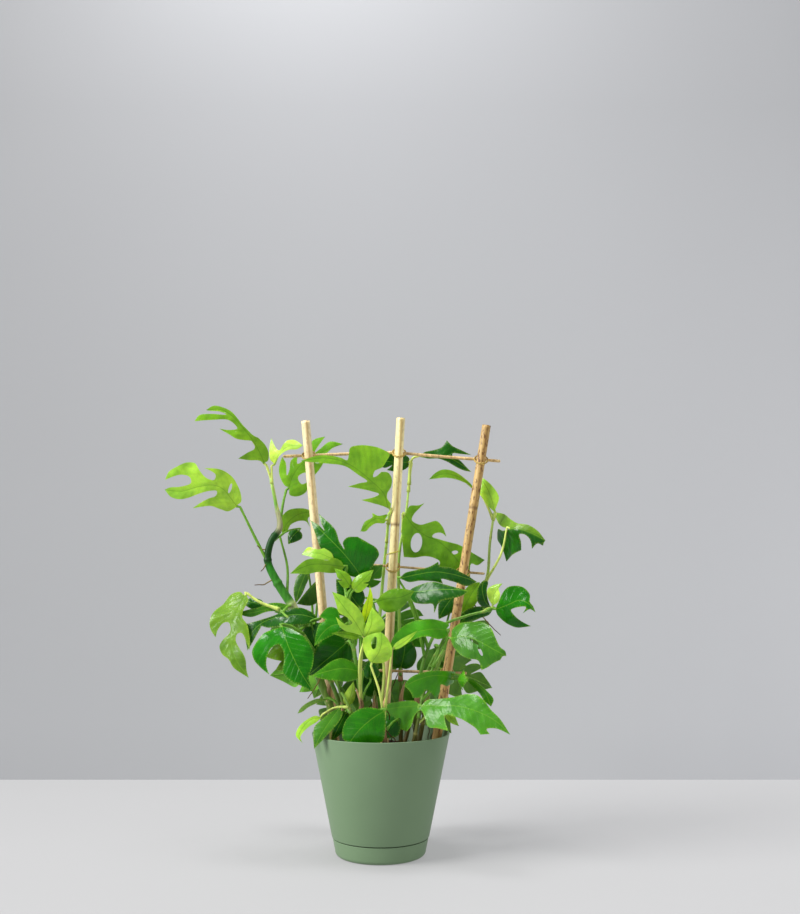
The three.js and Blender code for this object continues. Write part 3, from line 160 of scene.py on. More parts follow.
# Between these two amounts of green, in linear light, a blade passes from old to young
YOUNG_GREEN = (0.26, 0.3)

# Stems, from foot to top. The old stem has a band of its own at each height.
PLAIN_STEM = ((0.26, 0.46, 0.13), (0.5, 0.7, 0.28))
STEM_GREENS = {
    "right_tall": ((0.3, 0.5, 0.14), (0.72, 0.82, 0.45)),
    "centre_back": ((0.3, 0.5, 0.14), (0.72, 0.86, 0.44)),
    "centre_tall": ((0.34, 0.54, 0.16), (0.7, 0.86, 0.42)),
    "centre_front": ((0.5, 0.58, 0.25), (0.74, 0.84, 0.42)),
}
OLD_STEM = [
    (134, (0.4, 0.36, 0.2)), (190, (0.45, 0.56, 0.25)), (250, (0.36, 0.55, 0.2)),
    (296, (0.4, 0.58, 0.24)), (304, (0.76, 0.8, 0.62)), (316, (0.7, 0.75, 0.52)),
    (324, (0.25, 0.5, 0.16)), (368, (0.14, 0.46, 0.09)), (376, (0.06, 0.24, 0.05)),
    (412, (0.07, 0.26, 0.06)), (420, (0.6, 0.6, 0.47)), (440, (0.62, 0.64, 0.48)),
    (452, (0.42, 0.64, 0.24)), (470, (0.62, 0.78, 0.38)), (486, (0.7, 0.84, 0.46)),
]
BARK = (0.36, 0.27, 0.16)
JOINT_TINT = (0.62, 0.6, 0.36)
HUSK = ((0.5, 0.38, 0.26), (0.8, 0.68, 0.52))
FRESH_ROOT = (0.62, 0.55, 0.3)
DRY_ROOT = (0.3, 0.2, 0.12)
PALE_PETIOLE = (0.8, 0.86, 0.46)
GREEN_PETIOLE = (0.42, 0.62, 0.2)
PETIOLE_FOOT = (0.3, 0.5, 0.15)
PALE_TONES = ("pale", "lime", "olive")

# Canes
TAN = (0.82, 0.63, 0.4)
KNOT_SCAR = (0.4, 0.27, 0.15)
KNOT_HALO = (0.8, 0.66, 0.42)
CUT_CANE = (0.84, 0.72, 0.48)
PITH = (0.5, 0.36, 0.2)
BAR_STRAW = (0.88, 0.76, 0.53)
BAR_SCAR = (0.45, 0.3, 0.17)
SPECK = (0.42, 0.27, 0.14)

# Pot, soil and stage
SAGE = ((0.42, 0.52, 0.39), (0.435, 0.535, 0.405))
SAGE_SCUFF = (0.58, 0.68, 0.56)
PEAT = (0.2, 0.145, 0.11)
BARKS = [(0.4, 0.27, 0.17), (0.3, 0.2, 0.13), (0.5, 0.38, 0.26), (0.22, 0.16, 0.12)]
FLOOR_PAINT = (0.56, 0.56, 0.565)
WALL_PAINT = (0.728, 0.733, 0.747)
# What the mesh holds at its points where the material doesn't read it
PLAIN_TONE = (0.5, 0.5, 0.5, 0.5)

# Each stem: where its foot stands in the soil [x, y], the places that it climbs through as
# [across, up, depth], its radii from foot to top, and its aerial roots: the end and the height.
STEMS = {
    "left_tall": dict(
        foot=[-60, -14],
        path=[[-67, 188, -10], [-78, 215, -8], [-94, 272, -4], [-117, 315, 0], [-139, 349, 2],
          [-151, 376, 3], [-147, 402, 3], [-136, 420, 3], [-141, 450, 2], [-149, 486, 0]],
        radius=[5, 5, 5.2, 5.6, 6, 5.6, 4.9, 4.6, 4.2, 2.4, 1.6],
        roots=[[[-160, 362, -8], 378], [[-166, 396, -2], 392], [[-168, 344, -14], 352]],
    ),
    "left_low": dict(
        foot=[-40, -32],
        path=[[-58, 200, -30], [-84, 250, -30], [-106, 283, -30], [-126, 303, -26], [-139, 316, -20]],
        radius=[3, 1.6],
        roots=[[[-96, 196, -40], 236]],
    ),
    "left_front": dict(
        foot=[-20, -46],
        path=[[-26, 190, -50], [-34, 250, -46], [-42, 300, -36], [-48, 340, -28], [-52, 362, -24]],
        radius=[3, 1.5],
    ),
    "centre_front": dict(
        foot=[6, -60],
        path=[[4, 168, -60], [2, 195, -58], [4, 230, -50], [-2, 275, -44], [-10, 308, -40]],
        radius=[2.6, 1.3],
    ),
    "centre_tall": dict(
        foot=[-12, 34],
        path=[[-8, 200, 36], [-2, 300, 36], [4, 370, 32], [8, 410, 20], [10, 440, 8]],
        radius=[3, 1.4],
    ),
    "centre_back": dict(
        foot=[26, 42],
        path=[[26, 200, 44], [24, 300, 44], [24, 385, 42], [32, 430, 38], [38, 486, 36]],
        radius=[3, 1.3],
    ),
    "right_tall": dict(
        foot=[50, 28],
        path=[[66, 215, 40], [92, 275, 42], [122, 318, 38], [140, 352, 31],
          [145, 400, 27], [151, 440, 22]],
        radius=[3, 1.5],
        roots=[[[158, 278, 44], 318]],
    ),
    "right_mid": dict(
        foot=[44, -24],
        path=[[48, 200, -16], [58, 250, -10], [78, 288, -7], [112, 303, -7], [146, 311, -8]],
        radius=[2.8, 1.5],
    ),
    "right_low": dict(
        foot=[38, -54],
        path=[[50, 172, -56], [55, 200, -52], [68, 235, -48], [84, 262, -46]],
        radius=[2.6, 1.4],
    ),
    "pot_front": dict(
        foot=[-34, -60],
        path=[[-36, 168, -60], [-44, 190, -56], [-52, 204, -50]],
        radius=[2.4, 1.3],
    ),
    "back_left": dict(
        foot=[-42, 40],
        path=[[-52, 200, 52], [-70, 255, 62], [-92, 296, 66]],
        radius=[3, 1.5],
    ),
    "back_mid": dict(
        foot=[-6, 60],
        path=[[-8, 190, 72], [-14, 245, 82], [-6, 290, 84]],
        radius=[3, 1.5],
    ),
    "back_right": dict(
        foot=[32, 58],
        path=[[48, 200, 74], [70, 250, 82], [92, 284, 82]],
        radius=[3, 1.5],
    ),
}

# Dry sheaths on each stem: the height of the joint, and the way the tip leans, in radians
SHEATHS = {
    "left_tall": [(158, 3.4), (196, 5.6)],
    "left_low": [(168, 4.4)],
    "left_front": [(152, 5.2), (186, 3.6)],
    "centre_front": [(148, 4.2), (182, 5.8)],
    "centre_tall": [(160, 4.9), (205, 4.0)],
    "centre_back": [(176, 5.4), (214, 1.2)],
    "right_tall": [(170, 5.0), (206, 0.6)],
    "right_mid": [(190, 5.7)],
    "back_mid": [(168, 1.6)],
}

# Margins for leaves without an outline of their own, as [share of the length, share of half the
# width], with a third value where the margin comes to a point
HALVES = {
    "whole": [[-0.03, 0.35], [0.08, 0.8], [0.28, 1], [0.52, 0.86], [0.78, 0.45]],
    "one_cut": [[-0.03, 0.35], [0.07, 0.8], [0.3, 1], [0.53, 0.95, 1], [0.4, 0.3], [0.6, 0.72],
        [0.82, 0.36]],
    "two_cut": [[-0.04, 0.4], [0.05, 0.85], [0.25, 1], [0.44, 0.95, 1], [0.29, 0.26], [0.44, 0.7],
        [0.58, 0.86], [0.72, 0.78, 1], [0.54, 0.22], [0.7, 0.5], [0.86, 0.28]],
    "three_cut": [[-0.04, 0.4], [0.02, 0.84], [0.22, 1, 1], [0.14, 0.28], [0.26, 0.76], [0.38, 0.97],
        [0.53, 0.93, 1], [0.34, 0.22], [0.48, 0.64], [0.6, 0.8], [0.74, 0.7, 1], [0.56, 0.18],
        [0.72, 0.44], [0.87, 0.24]],
}

# Each leaf: its stem and the height at which its petiole leaves it, a place that the petiole passes
# (via), its base and tip as [across, up, depth], its midrib (rib), its two margins (one, two) as
# [across, up] with a third value at a pointed end, its holes as [across, up, length, width, tilt],
# its turn about its chord in degrees and its arch, droop and wave in millimetres (bend), and its
# tone, or one for each half. Where a margin is a name from HALVES, wide is the width as a share of
# the length. Places are on the ladder's plane as the eye sees them. The tone also says whether the
# petiole is pale, unless pale_petiole does.
LEAVES = {
    "crown": dict(
        stem="left_tall", height=440, base=[-158, 507, -3], tip=[-238, 579, -24],
        rib=[[-166, 525], [-177, 542], [-189, 557], [-202, 571], [-218, 580]],
        one=[[-164, 510], [-178, 511], [-193, 513, 1], [-181, 521], [-171, 527], [-174, 536],
          [-186, 538], [-197, 540], [-206, 546], [-219, 554, 1], [-205, 552], [-195, 554],
          [-200, 561], [-209, 566], [-225, 566], [-253, 564, 1], [-247, 572], [-232, 574],
          [-218, 573], [-210, 573], [-219, 577], [-230, 578]],
        two=[[-153, 510], [-152, 520], [-157, 532], [-166, 541, 1], [-174, 545], [-181, 552],
          [-188, 559], [-195, 568], [-203, 577], [-215, 583], [-228, 585]],
        bend=(12, 7, 3, 2), tone="fresh", pale_petiole=True,
    ),
    "crown_bud": dict(
        stem="left_tall", height=478, base=[-144, 506, 2], tip=[-106, 531, 14],
        rib=[[-138, 519], [-124, 530]],
        one=[[-150, 512], [-151, 530], [-149, 541, 1], [-142, 527], [-138, 524], [-132, 533],
          [-126, 538], [-118, 539]],
        two=[[-141, 512], [-134, 520], [-124, 525], [-114, 526]],
        bend=(-20, 4, 4, 2), tone="pale",
    ),
    "far_left": dict(
        stem="left_tall", height=372, via=[-166, 402, 0], base=[-194, 449, -6], tip=[-291, 471, -30],
        rib=[[-203, 461], [-213, 472], [-226, 477], [-246, 475], [-268, 469]],
        one=[[-205, 442], [-216, 445], [-228, 449], [-240, 448], [-253, 446, 1], [-243, 453],
          [-232, 459], [-222, 463], [-221, 469], [-232, 469], [-246, 465], [-259, 460],
          [-271, 458], [-282, 461]],
        two=[[-188, 455], [-189, 467], [-193, 477], [-199, 487], [-209, 495], [-219, 499],
          [-238, 500, 1], [-229, 496], [-223, 491], [-225, 484], [-234, 486], [-241, 492],
          [-246, 499], [-251, 507], [-262, 508], [-277, 501], [-286, 495], [-291, 484, 1],
          [-281, 488], [-268, 491], [-258, 488], [-256, 480], [-270, 475], [-284, 474]],
        holes=[[-203, 473, 14, 4, 74]],
        bend=(10, 6, 4, 2), tone="lime", pale_petiole=False,
    ),
    "left_window": dict(
        stem="left_tall", height=418, base=[-124, 474, 26], tip=[-52, 533, 44],
        rib=[[-119, 490], [-108, 505], [-93, 515], [-74, 525]],
        one=[[-129, 476], [-135, 485], [-138, 496], [-137, 506], [-134, 515, 1], [-129, 508],
          [-127, 490], [-124, 497], [-122, 510], [-113, 518, 1], [-113, 506], [-106, 510],
          [-100, 520], [-96, 534], [-89, 540], [-76, 543, 1], [-84, 532], [-90, 521],
          [-82, 527], [-70, 536]],
        two=[[-123, 464], [-112, 462], [-101, 468], [-97, 482, 1], [-107, 478], [-112, 488],
          [-103, 494], [-92, 490], [-84, 498], [-77, 509, 1], [-88, 507], [-91, 511], [-78, 517],
          [-66, 527]],
        bend=(-14, 4, 4, 2), tone="moss",
    ),
    "left_hook": dict(
        stem="left_tall", height=326, via=[-125, 368, 12], base=[-131, 411, 20], tip=[-92, 442, 42],
        rib=[[-126, 426], [-111, 438]],
        one=[[-134, 422], [-134, 434], [-125, 443], [-106, 446]],
        two=[[-125, 416], [-121, 424], [-110, 429], [-100, 428], [-95, 421, 1], [-98, 432],
          [-94, 437]],
        bend=(20, 7, 6, 1), tone="fresh",
    ),
    "left_shade": dict(
        stem="left_tall", height=398, base=[-111, 416, 30], tip=[-124, 398, 26],
        one="whole", two="whole", wide=0.9, bend=(24, 3, 3, 1), tone="deep",
    ),
    "star": dict(
        stem="centre_tall", height=425, base=[9, 447, 4], tip=[-109, 510, -14],
        rib=[[3, 466], [-13, 482], [-32, 498], [-52, 509], [-78, 514]],
        one=[[2, 449], [-8, 452], [-27, 457, 1], [-10, 461], [-3, 465], [-14, 469], [-28, 472],
          [-45, 475, 1], [-28, 480], [-19, 482], [-31, 491], [-50, 503], [-70, 506], [-92, 508]],
        two=[[11, 443], [13, 452, 1], [8, 459], [8, 466], [13, 475], [14, 486], [9, 494],
          [0, 495, 1], [-7, 489], [-11, 488], [-9, 496], [1, 501], [7, 510], [11, 519],
          [0, 526], [-14, 530], [-30, 531], [-42, 528], [-44, 518, 1], [-46, 511], [-54, 514],
          [-68, 517], [-86, 517]],
        bend=(-10, 9, 5, 2), tone="fresh", pale_petiole=True,
    ),
    "star_low": dict(
        stem="centre_tall", height=400, base=[5, 430, 8], tip=[-28, 415, -2],
        rib=[[-8, 432]],
        one=[[4, 426], [-7, 426], [-15, 421], [-21, 415]],
        two=[[8, 437], [-4, 436], [-12, 440, 1], [-12, 434], [-22, 428]],
        bend=(10, 4, 2, 1), tone="fresh", pale_petiole=True,
    ),
    "bar_left": dict(
        stem="centre_back", height=470, base=[36, 508, 36], tip=[-16, 513, 40],
        one="one_cut", two="whole", wide=0.5, bend=(-24, 6, 4, 1), tone="deep", pale_petiole=True,
    ),
    "bar_right": dict(
        stem="centre_back", height=480, via=[41, 512, 34], base=[56, 516, 36], tip=[121, 495, 30],
        rib=[[72, 517], [90, 514], [106, 506]],
        one=[[57, 521], [72, 525], [82, 529], [88, 538, 1], [96, 530], [108, 524], [121, 518, 1],
          [108, 519], [96, 520], [96, 516], [105, 511], [114, 502]],
        two=[[62, 513], [76, 513], [88, 509], [100, 502], [111, 497]],
        bend=(-10, 6, 4, 2), tone="deep", pale_petiole=True,
    ),
    "right_blade": dict(
        stem="right_tall", height=432, base=[122, 475, 30], tip=[64, 485, 22],
        one=[[113, 480], [100, 485], [86, 487], [74, 486]],
        two=[[117, 482], [106, 491], [94, 497], [82, 498], [72, 493]],
        rib=[[108, 486], [92, 492], [78, 491]],
        bend=(20, 6, 3, 1), tone="fresh", pale_petiole=True,
    ),
    "right_pale": dict(
        stem="right_tall", height=430, base=[151, 443, 22], tip=[131, 490, 30],
        one=[[144, 448], [136, 459], [129, 470], [127, 482]],
        two=[[155, 450], [158, 460], [155, 468], [148, 477], [139, 485]],
        rib=[[148, 458], [141, 475]],
        bend=(-16, 5, 3, 1), tone="lime",
    ),
    "right_claw": dict(
        stem="right_tall", height=348, via=[160, 386, 14], base=[172, 419, 8], tip=[219, 403, -14],
        rib=[[186, 418], [204, 411]],
        one=[[162, 421], [154, 430], [151, 441, 1], [163, 438], [173, 431], [182, 426],
          [196, 424], [210, 415]],
        two=[[162, 416], [156, 418], [155, 405], [161, 395], [167, 375, 1], [175, 383],
          [187, 390, 1], [186, 401], [184, 411], [191, 411], [197, 406], [200, 400],
          [201, 392, 1], [209, 399], [216, 396, 1], [217, 400]],
        bend=(8, 6, 9, 2), tone=["olive", "deep"],
    ),
    "window": dict(
        stem="centre_back", height=415, base=[32, 437, 33], tip=[120, 345, 36],
        rib=[[44, 421], [60, 409], [76, 402], [92, 388], [106, 370]],
        one=[[28, 428], [28, 405], [30, 381, 1], [44, 380], [58, 382], [70, 380], [78, 375],
          [76, 364], [90, 352], [106, 345]],
        two=[[38, 449], [50, 450], [58, 453, 1], [51, 446], [43, 437], [41, 430], [52, 424],
          [64, 427], [74, 429], [82, 421], [87, 408, 1], [80, 413], [71, 412], [68, 408],
          [76, 405], [90, 401], [104, 397], [116, 390], [126, 384], [138, 377, 1], [128, 370],
          [120, 372], [118, 360]],
        holes=[[47, 400, 26, 15, 82], [98, 387, 9, 5, 10]],
        bend=(6, 8, 6, 3), tone="moss", pale_petiole=True,
    ),
    "tent": dict(
        stem="right_mid", height=262, base=[26, 353, -22], tip=[127, 348, -44],
        rib=[[48, 358], [76, 361], [104, 356]],
        one=[[36, 348], [52, 350], [68, 349], [82, 346, 1], [80, 352], [98, 348], [114, 343]],
        two=[[32, 360], [48, 364], [64, 368], [76, 375, 1], [78, 369], [92, 367], [112, 358]],
        bend=(24, 12, 8, 2), tone="deep",
    ),
    "spear": dict(
        stem="right_mid", height=250, base=[36, 334, -28], tip=[116, 336, -66],
        rib=[[56, 336], [78, 338], [98, 338]],
        one=[[42, 322], [56, 319], [68, 319], [69, 308, 1], [76, 321], [92, 326], [108, 330]],
        two=[[42, 340], [54, 345], [70, 348], [84, 345], [102, 340]],
        bend=(-20, 8, 6, 2), tone="deep",
    ),
    "fist": dict(
        stem="right_mid", height=310, base=[152, 312, -10], tip=[204, 308, -34],
        rib=[[168, 318], [184, 324], [196, 319]],
        one=[[154, 305], [162, 298], [170, 292], [180, 288], [198, 290, 1], [186, 296],
          [177, 304], [172, 311], [182, 315], [192, 315], [188, 307, 1], [197, 312]],
        two=[[156, 322], [161, 333], [168, 341], [180, 343], [191, 340], [197, 331],
          [197, 322], [201, 316]],
        bend=(14, 8, 8, 3), tone="glossy",
    ),
    "elbow": dict(
        stem="right_tall", height=300, base=[147, 312, 26], tip=[103, 292, 34],
        rib=[[128, 309], [114, 303]],
        one=[[140, 315], [124, 315], [110, 309], [104, 300]],
        two=[[143, 305], [132, 301], [118, 297]],
        bend=(-20, 5, 4, 1), tone="deep",
    ),
    "ear_back": dict(
        stem="right_tall", height=262, base=[108, 309, 36], tip=[131, 348, 44],
        rib=[[114, 322], [122, 336]],
        one=[[105, 315], [106, 328], [113, 340], [121, 346]],
        two=[[116, 310], [125, 319], [131, 332]],
        bend=(12, 5, 4, 1), tone="fresh",
    ),
    "ear_dark": dict(
        stem="right_tall", height=240, base=[96, 329, 56], tip=[76, 299, 48],
        one="whole", two="whole", wide=0.7, bend=(12, 4, 4, 1), tone="deep",
    ),
    "ear_front": dict(
        stem="right_tall", height=308, base=[144, 314, 14], tip=[136, 350, 2],
        rib=[[137, 324], [134, 338]],
        one=[[136, 314], [128, 322], [127, 334], [131, 345]],
        two=[[141, 326], [140, 338], [142, 348]],
        bend=(20, 5, 3, 1), tone="deep",
    ),
    "ear_pale": dict(
        stem="right_mid", height=309, base=[148, 318, 4], tip=[161, 346, 12],
        one=[[142, 326], [141, 337], [149, 344]],
        two=[[155, 321], [158, 331], [156, 339]],
        rib=[[150, 332]],
        bend=(-10, 3, 2, 1), tone="pale",
    ),
    "broad_left": dict(
        stem="right_low", height=240, base=[86, 285, -38], tip=[11, 263, -62],
        rib=[[66, 286], [44, 281], [26, 272]],
        one=[[90, 292], [80, 297], [62, 299], [44, 297], [28, 289], [17, 277]],
        two=[[88, 278], [76, 273], [62, 276], [48, 274], [34, 267], [20, 259]],
        bend=(14, 10, 6, 3), tone="mid",
    ),
    "broad_right": dict(
        stem="right_low", height=262, base=[93, 274, -44], tip=[165, 251, -74],
        rib=[[112, 277], [130, 270], [148, 260]],
        one=[[94, 266], [102, 255], [114, 248], [128, 245], [132, 233, 1], [140, 237],
          [148, 242], [157, 246, 1], [161, 251]],
        two=[[94, 284], [102, 292], [118, 295], [134, 295], [145, 288], [151, 275],
          [157, 263], [164, 257]],
        holes=[[123, 270, 15, 4, -32], [131, 257, 13, 4, -64]],
        bend=(-8, 10, 8, 3), tone="blue",
    ),
    "shelf": dict(
        stem="right_low", height=200, base=[92, 224, -42], tip=[31, 212, -80],
        rib=[[72, 226], [50, 221]],
        one=[[98, 230], [82, 232], [62, 231], [44, 226], [34, 218]],
        two=[[96, 218], [86, 212, 1], [78, 214], [76, 204], [70, 197, 1], [58, 208], [52, 198],
          [42, 197, 1], [38, 205]],
        bend=(-18, 10, 6, 2), tone="mid",
    ),
    "shelf_right": dict(
        stem="right_low", height=212, base=[102, 221, -46], tip=[114, 219, -76],
        one="whole", two="one_cut", wide=0.8, bend=(10, 5, 5, 1), tone="mid",
    ),
    "ribbon": dict(
        stem="right_low", height=222, base=[112, 222, -36], tip=[144, 186, -58],
        rib=[[126, 214], [138, 202]],
        one=[[118, 214], [129, 203], [138, 191]],
        two=[[123, 219], [137, 208], [148, 195]],
        bend=(16, 5, 3, 1), tone="mid",
    ),
    "skirt": dict(
        stem="right_low", height=178, base=[54, 187, -58], tip=[169, 150, -104],
        rib=[[78, 187], [104, 186], [130, 178], [152, 166]],
        one=[[44, 193], [24, 192], [8, 188], [5, 178], [13, 168], [24, 158], [34, 154, 1],
          [40, 162], [44, 174], [52, 181], [58, 171], [62, 160], [75, 158],
          [88, 155, 1], [84, 167], [84, 175], [100, 172], [114, 165], [124, 158], [130, 150, 1],
          [142, 151, 1], [138, 157], [150, 158]],
        two=[[60, 194], [78, 196], [96, 198], [110, 202], [124, 201], [135, 194], [144, 182],
          [156, 170]],
        bend=(-10, 12, 8, 3), tone="blue",
    ),
    "skirt_tongue": dict(
        stem="right_low", height=172, base=[86, 178, -50], tip=[102, 161, -52],
        one="whole", two="whole", wide=0.5, bend=(10, 2, 2, 1), tone="lime",
    ),
    "apron": dict(
        stem="left_front", height=200, via=[-28, 246, -66], base=[-24, 278, -70], tip=[-65, 335, -84],
        rib=[[-34, 295], [-47, 312]],
        one=[[-36, 281], [-46, 283], [-55, 290], [-60, 302, 1], [-53, 296], [-44, 291], [-38, 294],
          [-46, 302], [-56, 308], [-60, 320]],
        two=[[-19, 284], [-22, 296], [-27, 309], [-38, 321], [-49, 329]],
        bend=(8, 6, 5, 2), tone="lime",
    ),
    "apron_right": dict(
        stem="left_front", height=203, via=[-26, 244, -64], base=[-22, 274, -68], tip=[-12, 315, -74],
        rib=[[-13, 292]],
        one=[[-23, 283], [-20, 292], [-17, 302]],
        two=[[-12, 275], [-2, 281], [5, 289], [3, 298], [-5, 307]],
        bend=(-10, 5, 5, 1), tone="lime",
    ),
    "apron_spike": dict(
        stem="left_front", height=206, base=[-30, 276, -62], tip=[-66, 281, -80],
        one="whole", two="whole", wide=0.24, bend=(10, 3, 2, 0), tone="fresh",
    ),
    "spike": dict(
        stem="centre_front", height=290, base=[-22, 296, -62], tip=[-15, 343, -66],
        one=[[-25, 306], [-23, 317], [-18, 328]],
        two=[[-18, 302], [-12, 314], [-11, 328]],
        bend=(0, 2, 1, 0), tone="bright",
    ),
    "mask": dict(
        stem="centre_front", height=176, via=[-2, 205, -72], base=[-12, 243, -74], tip=[0, 282, -78],
        rib=[[-3, 256], [1, 270]],
        one=[[-19, 250], [-24, 262], [-23, 274], [-12, 280]],
        two=[[2, 242], [12, 248], [15, 259], [11, 270], [5, 278]],
        holes=[[-9, 268, 17, 8, 80]],
        bend=(-6, 4, 4, 1), tone="lime",
    ),
    "lime": dict(
        stem="centre_front", height=280, base=[-6, 322, -50], tip=[44, 336, -58],
        rib=[[8, 326], [26, 328]],
        one=[[3, 333], [14, 338], [28, 339]],
        two=[[-2, 315], [7, 309], [16, 309], [25, 313], [34, 321]],
        bend=(14, 6, 5, 1), tone="moss",
    ),
    "strand": dict(
        stem="centre_front", height=176, via=[12, 238, -72], base=[18, 262, -78], tip=[48, 284, -80],
        one="whole", two="whole", wide=0.24, bend=(10, 4, 2, 1), tone="lime",
    ),
    "gloss": dict(
        stem="left_front", height=330, base=[-26, 354, -24], tip=[-95, 430, -8],
        rib=[[-38, 371], [-54, 390], [-74, 410]],
        one=[[-38, 355], [-52, 360], [-64, 369], [-74, 382], [-82, 396], [-88, 412]],
        two=[[-16, 361], [-9, 373], [-3, 384], [-7, 393], [-18, 400], [-32, 408, 1],
          [-45, 407], [-51, 400], [-49, 391], [-56, 402], [-62, 418], [-84, 439, 1],
          [-80, 426], [-76, 416], [-83, 423]],
        bend=(-12, 9, 6, 2), tone="glossy",
    ),
    "gloss_blue": dict(
        stem="left_front", height=320, base=[-24, 346, -10], tip=[2, 371, -20],
        one="whole", two="one_cut", wide=0.8, bend=(10, 4, 3, 1), tone="blue",
    ),
    "wing": dict(
        stem="left_front", height=346, base=[-50, 368, -32], tip=[-121, 359, -44],
        rib=[[-70, 371], [-92, 371], [-108, 366]],
        one=[[-54, 362], [-68, 360], [-84, 361], [-98, 358], [-110, 359]],
        two=[[-54, 376], [-66, 381, 1], [-70, 377], [-86, 379], [-100, 377], [-110, 370]],
        bend=(-14, 9, 6, 2), tone="fresh",
    ),
    "wing_tip": dict(
        stem="left_front", height=355, base=[-64, 378, -26], tip=[-106, 384, -16],
        rib=[[-84, 386]],
        one=[[-72, 377], [-88, 379], [-97, 382]],
        two=[[-66, 386], [-76, 393, 1], [-84, 391], [-98, 394]],
        bend=(8, 4, 3, 1), tone="lime",
    ),
    "small_left": dict(
        stem="left_front", height=325, base=[-42, 343, -42], tip=[-62, 366, -48],
        one="one_cut", two="whole", wide=0.6, bend=(14, 4, 3, 1), tone="fresh",
    ),
    "small_right": dict(
        stem="left_front", height=315, base=[-36, 338, -44], tip=[-10, 364, -46],
        one="whole", two="one_cut", wide=0.55, bend=(-14, 4, 3, 1), tone="fresh",
    ),
    "flag": dict(
        stem="left_front", height=270, base=[-48, 292, -48], tip=[-88, 264, -66],
        rib=[[-64, 291], [-78, 280]],
        one=[[-54, 300], [-58, 311], [-70, 314], [-82, 303, 1], [-74, 298], [-82, 292],
          [-86, 280]],
        two=[[-52, 286], [-64, 278], [-76, 272]],
        bend=(8, 5, 4, 1), tone="rich",
    ),
    "curtain": dict(
        stem="left_front", height=250, base=[-46, 268, -30], tip=[-96, 226, -38],
        one="one_cut", two="whole", wide=0.8, bend=(-10, 8, 6, 2), tone="deep",
    ),
    "leaf_oval": dict(
        stem="left_front", height=205, base=[-28, 231, -56], tip=[-92, 225, -78],
        rib=[[-50, 235], [-72, 231]],
        one=[[-34, 241], [-50, 248], [-64, 245], [-78, 235]],
        two=[[-31, 222], [-44, 218], [-60, 219], [-76, 221]],
        bend=(12, 7, 5, 1), tone="mid",
    ),
    "shadow_low": dict(
        stem="left_front", height=196, base=[-14, 222, -36], tip=[-12, 248, -40],
        one="whole", two="whole", wide=0.9, bend=(-16, 3, 3, 1), tone="deep",
    ),
    "hand": dict(
        stem="left_low", height=312, via=[-162, 322, -20], base=[-180, 330, -22], tip=[-174, 223, -52],
        rib=[[-190, 309], [-198, 288], [-198, 268], [-190, 245]],
        one=[[-188, 335], [-200, 331], [-210, 318], [-220, 309], [-226, 297], [-225, 286],
          [-218, 275, 1], [-215, 286], [-209, 294], [-202, 295], [-199, 287], [-201, 280],
          [-208, 273], [-213, 264], [-210, 254], [-200, 246], [-194, 236], [-184, 229]],
        two=[[-176, 324], [-182, 312], [-184, 302], [-177, 292], [-174, 277], [-173, 259, 1],
          [-178, 270], [-184, 281], [-190, 280], [-192, 272], [-188, 263], [-181, 253],
          [-178, 245], [-177, 233]],
        bend=(16, 8, 7, 3), tone="olive",
    ),
    "edge_on": dict(
        stem="left_low", height=308, base=[-124, 317, -8], tip=[-192, 306, -20],
        rib=[[-144, 314], [-168, 308]],
        one=[[-128, 311], [-150, 309], [-172, 302]],
        two=[[-132, 320], [-148, 320], [-160, 315], [-178, 311]],
        bend=(18, 5, 3, 1), tone="blue",
    ),
    "small_dark": dict(
        stem="left_low", height=312, base=[-158, 318, -4], tip=[-185, 321, 2],
        one="whole", two="whole", wide=0.6, bend=(22, 3, 3, 1), tone="deep",
    ),
    "awning": dict(
        stem="left_low", height=286, base=[-84, 299, -16], tip=[-176, 258, -46],
        rib=[[-106, 305], [-130, 303], [-152, 297], [-170, 282]],
        one=[[-94, 293], [-110, 291], [-130, 290], [-148, 288], [-158, 290, 1], [-164, 279],
          [-170, 268]],
        two=[[-90, 307], [-106, 314], [-122, 312], [-142, 304], [-162, 297], [-182, 292, 1],
          [-180, 277]],
        bend=(20, 10, 6, 2), tone="deep",
    ),
    "mitten": dict(
        stem="left_low", height=280, base=[-131, 289, -44], tip=[-88, 204, -72],
        rib=[[-124, 268], [-115, 248], [-103, 226]],
        one=[[-142, 286], [-155, 280], [-164, 270], [-170, 257], [-167, 246], [-160, 238],
          [-147, 227, 1], [-151, 240], [-149, 254], [-143, 263], [-135, 266], [-129, 258],
          [-128, 244], [-129, 230], [-119, 219], [-106, 213]],
        two=[[-120, 287], [-106, 279], [-95, 268], [-89, 254], [-90, 238], [-95, 224],
          [-92, 213]],
        bend=(-8, 9, 7, 3), tone="glossy",
    ),
    "olive": dict(
        stem="left_low", height=262, base=[-124, 258, -26], tip=[-151, 250, -34],
        one="whole", two="whole", wide=0.9, bend=(20, 3, 3, 1), tone="olive",
    ),
    "olive_tip": dict(
        stem="left_low", height=242, base=[-120, 243, -26], tip=[-139, 232, -34],
        one="whole", two="whole", wide=0.6, bend=(10, 2, 2, 1), tone="olive",
    ),
    "dark_fill": dict(
        stem="left_low", height=232, base=[-92, 290, -17], tip=[-72, 236, -18],
        one="one_cut", two="whole", wide=0.8, bend=(12, 6, 5, 2), tone="deep",
    ),
    "behind_stake": dict(
        stem="back_left", height=285, base=[-82, 352, 34], tip=[-112, 319, 30],
        one=[[-90, 346], [-99, 336], [-106, 327]],
        two=[[-76, 340], [-80, 326], [-92, 317]],
        bend=(-10, 4, 4, 1), tone="shade",
    ),
    "behind_left": dict(
        stem="back_left", height=288, base=[-99, 362, 44], tip=[-113, 320, 38],
        one=[[-110, 358], [-115, 346], [-116, 332]],
        two=[[-96, 354], [-100, 344], [-104, 333], [-109, 325]],
        bend=(10, 4, 4, 1), tone="shade",
    ),
    "behind_gap": dict(
        stem="centre_tall", height=320, base=[-46, 328, 34], tip=[-52, 356, 32],
        one="whole", two="whole", wide=0.5, bend=(10, 3, 3, 1), tone="mid",
    ),
    "dark_heart": dict(
